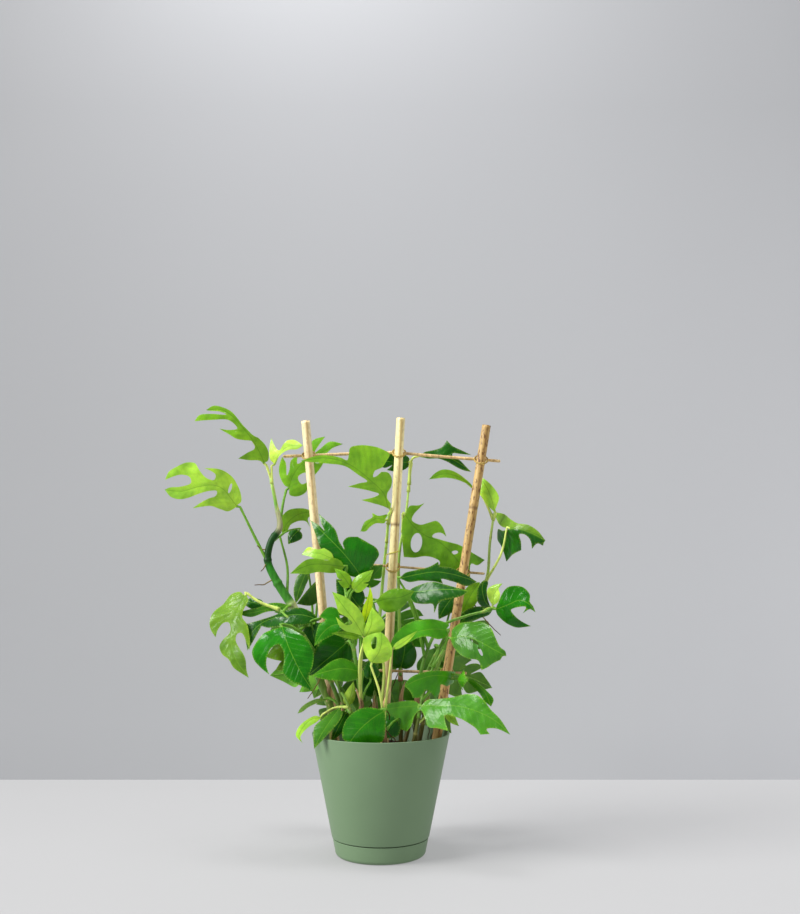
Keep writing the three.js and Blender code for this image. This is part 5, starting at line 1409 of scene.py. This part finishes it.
def add_stem(pieces, name, stem):
    """A stem from its foot in the soil to its top. Gives back its curve."""
    foot = np.array([*stem["foot"], STEM_FOOT])
    places = [np.array([*stem["foot"], SOIL_TOP + STEM_RISE]), *[seen(p) for p in stem["path"]]]
    count = 24 * len(stem["path"])
    way = catmull(places, count)
    gone = lengths(way)
    share = gone / gone[-1]
    sizes = stem["radius"]
    radii = np.interp(np.linspace(0, 1, count + 1), np.linspace(0, 1, len(sizes)), sizes)
    joints = np.arange(18 + 9 * rng.random(), gone[-1], JOINT_STEP)
    low, high = STEM_GREENS.get(name, PLAIN_STEM)
    colour = mix(linear(low), linear(high), share[:, None] ** 1.4)
    colour = mix(colour, linear(BARK), 0.85 * hill(gone, 62)[:, None])
    for joint in joints:
        radii = radii * (1 + JOINT_SWELL * hill(gone - joint, 2.2))
        colour = mix(colour, linear(JOINT_TINT), 0.55 * hill(gone - joint, 1.2)[:, None])
    if name == "left_tall":
        heights, bands = zip(*OLD_STEM)
        bands = np.array([linear(band) for band in bands])
        colour = np.column_stack([np.interp(way[:, 2], heights, bands[:, k]) for k in range(3)])
    pieces.add_tube(np.vstack([foot, way]), [radii[0], *radii], 12, np.vstack([colour[0], colour]), 0.42)
    return catmull(places, 200)


def add_petiole(pieces, f, curve, rib, rib_lift):
    """The petiole from the stem to the blade, and on under the blade as its raised midrib."""
    leaf = f["leaf"]
    start = at_height(curve, leaf["height"])
    base = blade_place(f, np.zeros(1), np.zeros(1), 0)[0]
    neck = base - f["along"] * NECK_REACH - f["up"] * NECK_REACH / 3
    reach = np.linalg.norm(neck - start)
    middle = seen(leaf["via"]) if "via" in leaf else mix(start, neck, 0.55) + [0, 0, 0.1 * reach]
    way = catmull([start, middle, neck], max(int(reach / 3), 6))
    share = lengths(way) / lengths(way)[-1]
    scale = PETIOLE_RADIUS * min(1.15, 0.7 + f["length"] / 160)
    radii = scale * mix(1.2, 0.78, share) * (1 + 0.35 * hill(share * reach, 7))
    radii = radii * (1 + 0.22 * hill((1 - share) * reach - 3, 4))
    gone = lengths(rib)
    under = 0.9 * scale * (1 - gone / gone[-1]) ** 0.8 + 0.12
    ridge = blade_place(f, rib[:, 0], rib[:, 1], rib_lift - under)
    main = leaf["tone"] if isinstance(leaf["tone"], str) else leaf["tone"][0]
    green = linear(PALE_PETIOLE if leaf.get("pale_petiole", main in PALE_TONES) else GREEN_PETIOLE)
    stem_end = mix(green, linear(PETIOLE_FOOT), 0.3)
    colour = np.vstack([mix(stem_end, green, share[:, None]),
                        np.tile(mix(green, linear(UNDERSIDE), 0.4), (len(ridge), 1))])
    pieces.add_tube(np.vstack([way, ridge]), np.concatenate([radii, under]), 8, colour, 0.4, f["up"])


def add_sheath(pieces, curve, height, lean):
    """A dry papery sheath round a stem's joint, whose tip curls away from it."""
    start = at_height(curve, height)
    away = np.array([math.cos(lean), math.sin(lean), 0.0])
    share = np.linspace(0, 1, 12)
    reach = 26 + 12 * rng.random()
    way = start + np.outer(share * reach, [0, 0, 1]) + np.outer(9 * share ** 2.2, away)
    way = way + 1.5 * wobble(way, 7) * share[:, None]
    colour = mix(linear(HUSK[0]), linear(HUSK[1]), share[:, None])
    pieces.add_tube(way, 3.4 * (1 - share ** 1.6) + 0.25, 9, colour, 0.75)


def add_twig(pieces, curve, height, lean):
    """A thin dry root that wanders down from a stem to the soil, and stays in the pot."""
    start = at_height(curve, height)
    away = np.array([math.cos(lean), math.sin(lean), 0.0])
    end = start + 26 * away
    end[2] = SOIL_TOP - 2
    reach = math.hypot(end[0], end[1])
    if reach > TWIG_LIMIT:
        end[:2] *= TWIG_LIMIT / reach
    way = catmull([start, mix(start, end, 0.4) + 8 * away, mix(start, end, 0.75), end], 30)
    share = np.linspace(0, 1, len(way))
    way = way + 4 * wobble(way, 11) * (4 * share * (1 - share))[:, None]
    pieces.add_tube(way, 0.75 - 0.35 * share, 6, linear(DRY_ROOT), 0.7)


def add_root(pieces, curve, root):
    """An aerial root, from the stem to its end in the air."""
    end, height = root
    start = at_height(curve, height)
    tip = seen(end)
    way = catmull([start, mix(start, tip, 0.5) + [0, 0, -3], tip], 18)
    share = np.linspace(0, 1, len(way))
    way = way + wobble(way, 9) * 1.2 * (share * (1 - share) * 4)[:, None]
    colour = mix(linear(FRESH_ROOT), linear(DRY_ROOT), share[:, None] ** 0.7)
    pieces.add_tube(way, mix(1.1, 0.5, share), 6, colour, 0.6)


def grow(leaf_look, vine_look):
    far = [dict(stem=stem, height=height, base=base, tip=tip, one=one, two=two, wide=wide,
                bend=(turn, *FAR_BEND), tone=FAR_TONES[i % len(FAR_TONES)])
           for i, (stem, height, base, tip, one, two, wide, turn) in enumerate(FAR_LEAVES)]
    every = [*LEAVES.values(), *far]
    for name, stem in STEMS.items():
        blades, vine = Pieces(), Pieces()
        curve = add_stem(vine, name, stem)
        for seed, leaf in enumerate(every):
            if leaf["stem"] == name:
                f = frame_of(leaf)
                rib, rib_lift = add_blade(blades, f, seed)
                add_petiole(vine, f, curve, rib, rib_lift)
        for root in stem.get("roots", []):
            add_root(vine, curve, root)
        for height, lean in SHEATHS.get(name, []):
            add_sheath(vine, curve, height, lean)
            add_twig(vine, curve, height + 18, lean + 1.4)
        blades.build("leaves_" + name, leaf_look, "leaf", "stem_" + name)
        vine.build("vine_" + name, vine_look, "leaf", "stem_" + name)


# Ladder

def stake_axis(stake):
    """The stake's foot and head, on one straight line."""
    across, up = stake["top"]
    head = np.array([across, STAKE_PLANE, up], float)
    ground = np.array([stake["foot"], STAKE_PLANE, SOIL_TOP], float)
    return ground - (head - ground) * ((SOIL_TOP - STAKE_FOOT) / (up - SOIL_TOP)), head


def bar_axis(bar):
    behind = STAKE_PLANE + STAKE_RADIUS * KNOT_SWELL + GAP + BAR_RADIUS * bar["size"]
    return np.array([(across, behind, up) for across, up in bar["way"]], float)


def build_stake(name, stake, look):
    foot, head = stake_axis(stake)
    count, sides = 150, 28
    share = np.linspace(0, 1, count)
    length = np.linalg.norm(head - foot)
    radii = STAKE_RADIUS * mix(1, STAKE_TAPER, share)
    straw = linear(stake["straw"])
    colour = np.tile(straw, (count, 1)) * (1 + 0.08 * np.sin(share * 21 + stake["foot"]))[:, None]
    colour = mix(colour, linear(TAN), 0.6 * np.clip(1.15 - 1.5 * share, 0, 1)[:, None])
    for knot in stake["knots"]:
        off = (share - knot) * length
        radii = radii * (1 + (0.06 * hill(off, 3.5) - 0.045 * hill(off + KNOT_DROP, 1.1)))
        colour = mix(colour, linear(KNOT_SCAR), 0.8 * hill(off + KNOT_DROP, 1.3)[:, None])
        colour = mix(colour, linear(KNOT_HALO), 0.35 * hill(off - 3, 7)[:, None])
    axis = unit(head - foot)
    way = np.vstack([mix(foot, head, share[:, None]), [head + axis * (up - 0.6) for up, _ in CUT_TOP]])
    radii = np.concatenate([radii, [radii[-1] * size for _, size in CUT_TOP]])
    cut, pith = linear(CUT_CANE), linear(PITH)
    colour = np.vstack([colour, straw, cut, cut, cut, pith, pith])
    points, faces = tube_straight(way, radii, sides, axis)
    tone = ring_tones(colour, stake["specks"], len(way), sides)
    # a long brown strip on the side that faces the front and right
    facing = points - np.repeat(way, sides, axis=0)
    strip = hill(np.arctan2(facing[:, 0], -facing[:, 1]) - STRIP_TURN, STRIP_WIDTH)
    tone[:, :3] *= 1 - np.outer(strip, STRIP_SHADE)
    pieces = Pieces()
    pieces.add(points, faces, tone)
    pieces.build("bamboo_stake_" + name, look, "bamboo", "stake_" + name)


def build_bar(name, bar, look):
    """A thin cane that stays on the solid's straight lengths."""
    points = bar_axis(bar)
    gone = lengths(points)
    count, sides = 90, 14
    share = np.linspace(0, 1, count)
    way = np.column_stack([np.interp(share * gone[-1], gone, points[:, k]) for k in range(3)])
    radius = BAR_RADIUS * bar["size"]
    radii = radius * (1 + 0.05 * np.sin(share * 17 + radius) * np.sin(share * math.pi))
    colour = linear(BAR_STRAW) * bar["tone"] * (1 + 0.12 * np.sin(share * 40))[:, None]
    for knot in BAR_KNOTS:
        off = (share - knot) * gone[-1]
        radii = radii * (1 + 0.12 * hill(off, 2.0))
        colour = mix(colour, linear(BAR_SCAR), 0.6 * hill(off, 1.5)[:, None])
    radii[[0, -1]] *= 0.85
    mesh, faces = tube_straight(way, radii, sides, unit(points[-1] - points[0]))
    pieces = Pieces()
    pieces.add(mesh, faces, ring_tones(colour, 0.5, count, sides))
    pieces.build("bamboo_bar_" + name, look, "bamboo", "crossbar_" + name)


def build_tie(bar_name, stake_name, look):
    """Two turns of wire round a stake and a bar, with the ends twisted together at the front."""
    bar = BARS[bar_name]
    foot, head = stake_axis(STAKES[stake_name])
    points = bar_axis(bar)
    share = 0.5
    for _ in range(4):
        height = np.interp(mix(foot, head, share)[0], points[:, 0], points[:, 2])
        share = (height - foot[2]) / (head[2] - foot[2])
    place = mix(foot, head, share)
    front = STAKE_PLANE - STAKE_RADIUS - GAP - TIE_WIRE
    back = points[0][1] + BAR_RADIUS * bar["size"] + GAP + TIE_WIRE
    middle = (front + back) / 2
    deep = (back - front) / 2 + 1
    wide = STAKE_RADIUS * KNOT_SWELL + GAP + 3 * TIE_WIRE
    angles = np.linspace(-0.5 * math.pi, 1.5 * math.pi, 49)
    y = deep * np.sin(angles)
    pieces = Pieces()
    for drop in (0, 1.5):
        loop = np.column_stack([wide * np.cos(angles), y, TIE_TILT * y - drop])
        loop += [place[0], middle, place[2]]
        pieces.add_tube(loop, np.full(len(loop), LOOP_RADIUS), 8)
    knot = np.array([place[0], middle - deep, place[2] - TIE_TILT * deep])
    t = np.linspace(0, 1, 25)
    for turn in (0, math.pi):
        spin = 4 * math.pi * t + turn
        twist = knot + np.column_stack([0.55 * np.cos(spin) + 3.4 * t, 0.4 * np.sin(spin) + 0.35,
                                        0.55 * np.sin(spin) - 1.8 * t])
        pieces.add_tube(twist, np.full(len(t), 0.5), 8)
    name = bar_name + "_" + stake_name
    pieces.build("wire_tie_" + name, look, "tie_wire", "tie_" + name)


def build_twine(look):
    """A loop of soft yellow twine on the middle stake, with its end standing off to the left."""
    foot, head = stake_axis(STAKES["middle"])
    place = mix(foot, head, (TWINE_HEIGHT - foot[2]) / (head[2] - foot[2]))
    wide = STAKE_RADIUS * 1.04 + LOOP_RADIUS
    angles = np.linspace(0, 2 * math.pi, 41)
    loop = place + np.column_stack([wide * np.cos(angles), wide * np.sin(angles), 1.6 * np.cos(angles)])
    end = loop[20] + np.array([[0, 0, 0], [-2.5, -1.5, -1.5], [-3.4, -2, -4.5], [-3, -2, -7]])
    pieces = Pieces()
    for way in (loop, catmull(list(end), 18)):
        pieces.add_tube(way, np.full(len(way), LOOP_RADIUS), 8, first=(0, 0, 1))
    pieces.build("twine_loop", look, "tie_wire")


# Pot, saucer and soil

def pot_radius(height):
    return SEAM_RADIUS + (height - SEAM_HEIGHT) * WALL_SLOPE


def rounded(profile, radius, steps=4):
    """A profile with its corners rounded."""
    profile = [np.array(p, float) for p in profile]
    out = [profile[0]]
    for a, b, c in zip(profile, profile[1:], profile[2:]):
        cut = min(radius, 0.45 * np.linalg.norm(a - b), 0.45 * np.linalg.norm(c - b))
        p, q = b + unit(a - b) * cut, b + unit(c - b) * cut
        out += [(1 - t) ** 2 * p + 2 * t * (1 - t) * b + t * t * q for t in np.linspace(0, 1, steps)]
    return [*out, profile[-1]]


def build_pot(look):
    """The pot, with its drain holes cut through the floor."""
    step = SEAM_HEIGHT + SEAM_GAP
    profile = rounded([
        (0, POT_UNDER), (FOOT_RADIUS, POT_UNDER), (FOOT_RADIUS + FOOT_DRAFT, step),
        (pot_radius(step), step), (RIM_RADIUS, POT_TOP), (RIM_RADIUS - POT_WALL, POT_TOP),
        (pot_radius(step) - POT_WALL - 1, step + POT_WALL),
        (FOOT_RADIUS - POT_WALL, POT_FLOOR_TOP), (0, POT_FLOOR_TOP),
    ], 0.8)
    pieces = Pieces()
    pieces.add(*lathe(profile, POT_SIDES))
    pot = pieces.build("pot_shell", look, "pot_plastic", "pot")
    drill = Pieces()
    for k in range(DRAIN_COUNT):
        angle = 2 * math.pi * k / DRAIN_COUNT
        x, y = DRAIN_CIRCLE * math.cos(angle), DRAIN_CIRCLE * math.sin(angle)
        drill.add_tube([[x, y, -5], [x, y, 12]], [DRAIN_RADIUS] * 2, 24)
    cutter = drill.build("drain_cutter", look, "pot_plastic", "pot")
    cut = pot.modifiers.new("drains", "BOOLEAN")
    cut.operation = "DIFFERENCE"
    cut.object = cutter
    bpy.context.view_layer.update()
    done = bpy.data.meshes.new_from_object(pot.evaluated_get(bpy.context.evaluated_depsgraph_get()))
    pot.modifiers.clear()
    pot.data = done
    bpy.data.objects.remove(cutter)


def build_saucer(look):
    lip = SEAM_RADIUS - 0.6
    base = SAUCER_BASE_RADIUS
    turns = [math.radians(t) for t in range(0, 91, 9)]
    corner = [(base - SAUCER_CORNER * (1 - math.sin(t)), SAUCER_CORNER * (1 - math.cos(t))) for t in turns]
    wall = rounded([
        corner[-1], (lip, SEAM_HEIGHT), (lip - SAUCER_WALL, SEAM_HEIGHT),
        (base - SAUCER_WALL, SAUCER_CORNER), (FOOT_RADIUS + GAP, SAUCER_FLOOR), (0, SAUCER_FLOOR),
    ], 0.6)
    pieces = Pieces()
    pieces.add(*lathe([(0, 0), *corner, *wall[1:]], POT_SIDES))
    pieces.build("saucer_cup", look, "pot_plastic", "saucer")


def soil_lumps(x, y):
    """The soil's broad unevenness, about one either way."""
    return math.sin(x / 9) * math.cos(y / 11) + 0.6 * math.sin(x / 5 + y / 6)


def build_soil(look):
    """A crumbly top on the soil, chips of bark on it, and the plug of soil below."""
    inner = RIM_RADIUS - POT_WALL - (POT_TOP - SOIL_TOP) * WALL_SLOPE - GAP - 0.6
    step = SEAM_HEIGHT + SEAM_GAP + POT_WALL + GAP
    floor = POT_FLOOR_TOP + GAP
    profile = [(0, floor), (FOOT_RADIUS - POT_WALL - 2 * GAP - 0.4, floor),
               (pot_radius(step) - POT_WALL - 1 - 2 * GAP, step), (inner, SOIL_TOP - 1)]
    profile += [(inner * share, SOIL_TOP) for share in np.linspace(0.985, 0.03, 46)]
    profile.append((0, SOIL_TOP))
    points, faces = lathe(profile, 160)
    points = np.array(points, float)
    for p in points:
        if p[2] >= SOIL_TOP - 0.5:
            calm = min((inner - math.hypot(p[0], p[1])) / 4, 1)
            crumbs = noise.noise(Vector(p / 5)) * 1.6 + noise.noise(Vector(p / 2.1)) * 1.0
            p[2] += max(calm, 0) * (SOIL_RELIEF * soil_lumps(p[0], p[1]) + crumbs)
    pieces = Pieces()
    pieces.add(points, faces, paint(PEAT))
    for _ in range(CHIP_COUNT):
        angle = rng.random() * 2 * math.pi
        reach = inner * 0.97 * math.sqrt(rng.random())
        x, y = reach * math.cos(angle), reach * math.sin(angle)
        size = 0.8 + 2.6 * rng.random() ** 2.2
        chip = rng.normal(size=(9, 3))
        chip = chip / np.linalg.norm(chip, axis=1)[:, None] * CHIP_SHAPE * size
        turn = Matrix.Rotation(rng.random() * 6.3, 3, "Z") @ Matrix.Rotation(rng.normal() * 0.5, 3, "X")
        chip = chip @ np.array(turn).T + [x, y, SOIL_TOP + SOIL_RELIEF * soil_lumps(x, y) + 0.4 * size]
        shade = linear(BARKS[rng.integers(len(BARKS))]) * (0.7 + 0.5 * rng.random())
        pieces.add(chip, hull_faces(chip), (*shade, 1))
    pieces.build("soil_crumbs", look, "soil", "soil")


def hull_faces(points):
    """The triangles of a small point set's convex hull."""
    faces = []
    for a, b, c in combinations(range(len(points)), 3):
        normal = np.cross(points[b] - points[a], points[c] - points[a])
        sides = (points - points[a]) @ normal
        if np.all(sides < 1e-9):
            faces.append((a, b, c))
        elif np.all(sides > -1e-9):
            faces.append((a, c, b))
    return faces


# Stage, light and camera

def stage_plane(name, corners, look):
    mesh = bpy.data.meshes.new(name)
    mesh.from_pydata(corners, [], [(0, 1, 2, 3)])
    mesh.materials.append(look)
    plane = bpy.data.objects.new(name, mesh)
    bpy.context.scene.collection.objects.link(plane)
    return plane


def stage_tree(name, colour, left_shade, high_shade):
    """A matte paint with painted shade: darker to the left and up, where the key light is nearer."""
    t = Tree(name)
    spot = t.place()
    split = t.add("SeparateXYZ", {0: spot})
    colour = t.ramp(t.noise(spot, 1.2, 2), colour, tuple(1.015 * c for c in colour))
    # painted shade: darker to the left and towards the top, where the key light falls more strongly
    left = t.spread(split.outputs[0], 0.75, -0.75, 0.0, left_shade, "LINEAR")
    high = t.spread(split.outputs[2], 0.1, 1.25, 0.0, high_shade, "LINEAR")
    for shade in (left, high):
        colour = t.blend(shade, colour, (0, 0, 0, 1))
    t.feed(t.shader, {"Base Color": colour, "Roughness": 0.85, "Specular IOR Level": 0.1})
    return t


def area_light(name, place, size, power, height=0.3, colour=(1, 1, 1), glossy=True):
    """A soft lamp that looks at the plant, at that height."""
    lamp = bpy.data.lights.new(name, "AREA")
    lamp.shape = "RECTANGLE"
    lamp.size, lamp.size_y = size
    lamp.energy = power
    lamp.color = colour
    lit = bpy.data.objects.new(name, lamp)
    lit.location = place
    lit.rotation_mode = "QUATERNION"
    lit.rotation_quaternion = (Vector((0, 0, height)) - Vector(place)).to_track_quat("-Z", "Y")
    lit.visible_glossy = glossy
    bpy.context.scene.collection.objects.link(lit)


def stage():
    # the floor's paint, with painted shade towards the left
    floor = stage_tree("floor_paint_and_shade", FLOOR_PAINT, 0.24, 0.0)
    # painted light: the floor glows a little, though it is no lamp, which lightens the pot's shadow
    floor.feed(floor.shader, {"Emission Color": (1, 1, 1.01, 1), "Emission Strength": FLOOR_PAINTED_GLOW})
    far = STAGE_REACH
    stage_plane("floor", [(-far, -far, 0), (far, -far, 0), (far, far, 0), (-far, far, 0)], floor.material)
    # the wall's paint, with painted shade towards the left and the top
    wall = stage_tree("wall_paint_and_shade", WALL_PAINT, 0.32, 0.3)
    # clear from behind, so that the wall doesn't hide the plant from the views at the back
    behind = wall.add("NewGeometry").outputs["Backfacing"]
    clear = wall.add("BsdfTransparent")
    both = wall.add("MixShader", {0: behind, 1: wall.shader.outputs[0], 2: clear.outputs[0]})
    wall.feed(wall.nodes["Material Output"], {"Surface": both.outputs[0]})
    backdrop = stage_plane("backdrop", [(-far, WALL_AT, 0), (far, WALL_AT, 0), (far, WALL_AT, far),
                                        (-far, WALL_AT, far)], wall.material)
    backdrop.visible_shadow = False
    backdrop.visible_glossy = False
    area_light("key", (-3.2, -1.4, 2.4), (2.0, 2.0), 228, 0.25, (1, 0.99, 0.96))
    area_light("fill", (2.2, -1.1, 0.9), (1.2, 1.6), 17, colour=(1, 0.98, 0.95), glossy=False)
    area_light("top", (-0.2, -0.1, 2.0), (0.5, 0.5), 18)
    area_light("back", (0.6, 2.2, 1.3), (1.6, 1.2), 14, glossy=False)
    world = bpy.data.worlds.new("studio")
    world.use_nodes = True
    ground = world.node_tree.nodes["Background"]
    ground.inputs["Color"].default_value = (0.93, 0.95, 1.0, 1)
    ground.inputs["Strength"].default_value = 0.38
    bpy.context.scene.world = world


def camera():
    """The photograph's view: from a little right of the pot's axis, pitched up slightly."""
    focal_px, frame_px, sensor = 1035, 914, 36
    lens = bpy.data.cameras.new("view")
    lens.sensor_width = sensor
    lens.lens = focal_px / frame_px * sensor
    eye = bpy.data.objects.new("view", lens)
    eye.location = EYE * MM
    eye.rotation_euler = (math.radians(90 + PITCH_UP), 0, 0)
    bpy.context.scene.collection.objects.link(eye)
    bpy.context.scene.camera = eye


def main():
    camera()
    stage()
    bpy.context.scene.view_settings.view_transform = "Standard"
    plastic, straw = pot_material(), bamboo_material()
    wire = plain_material("garden_wire", (0.62, 0.5, 0.22), (0.78, 0.68, 0.36), 0.4, 0.2)
    twine = plain_material("twine", (0.7, 0.66, 0.2), (0.86, 0.82, 0.34), 0.6, 0.3)
    build_pot(plastic)
    build_saucer(plastic)
    build_soil(soil_material())
    for name, stake in STAKES.items():
        build_stake(name, stake, straw)
    for name, bar in BARS.items():
        build_bar(name, bar, straw)
    for bar_name, stake_name in TIES:
        build_tie(bar_name, stake_name, wire)
    build_twine(twine)
    grow(leaf_material(), vine_material())


main()
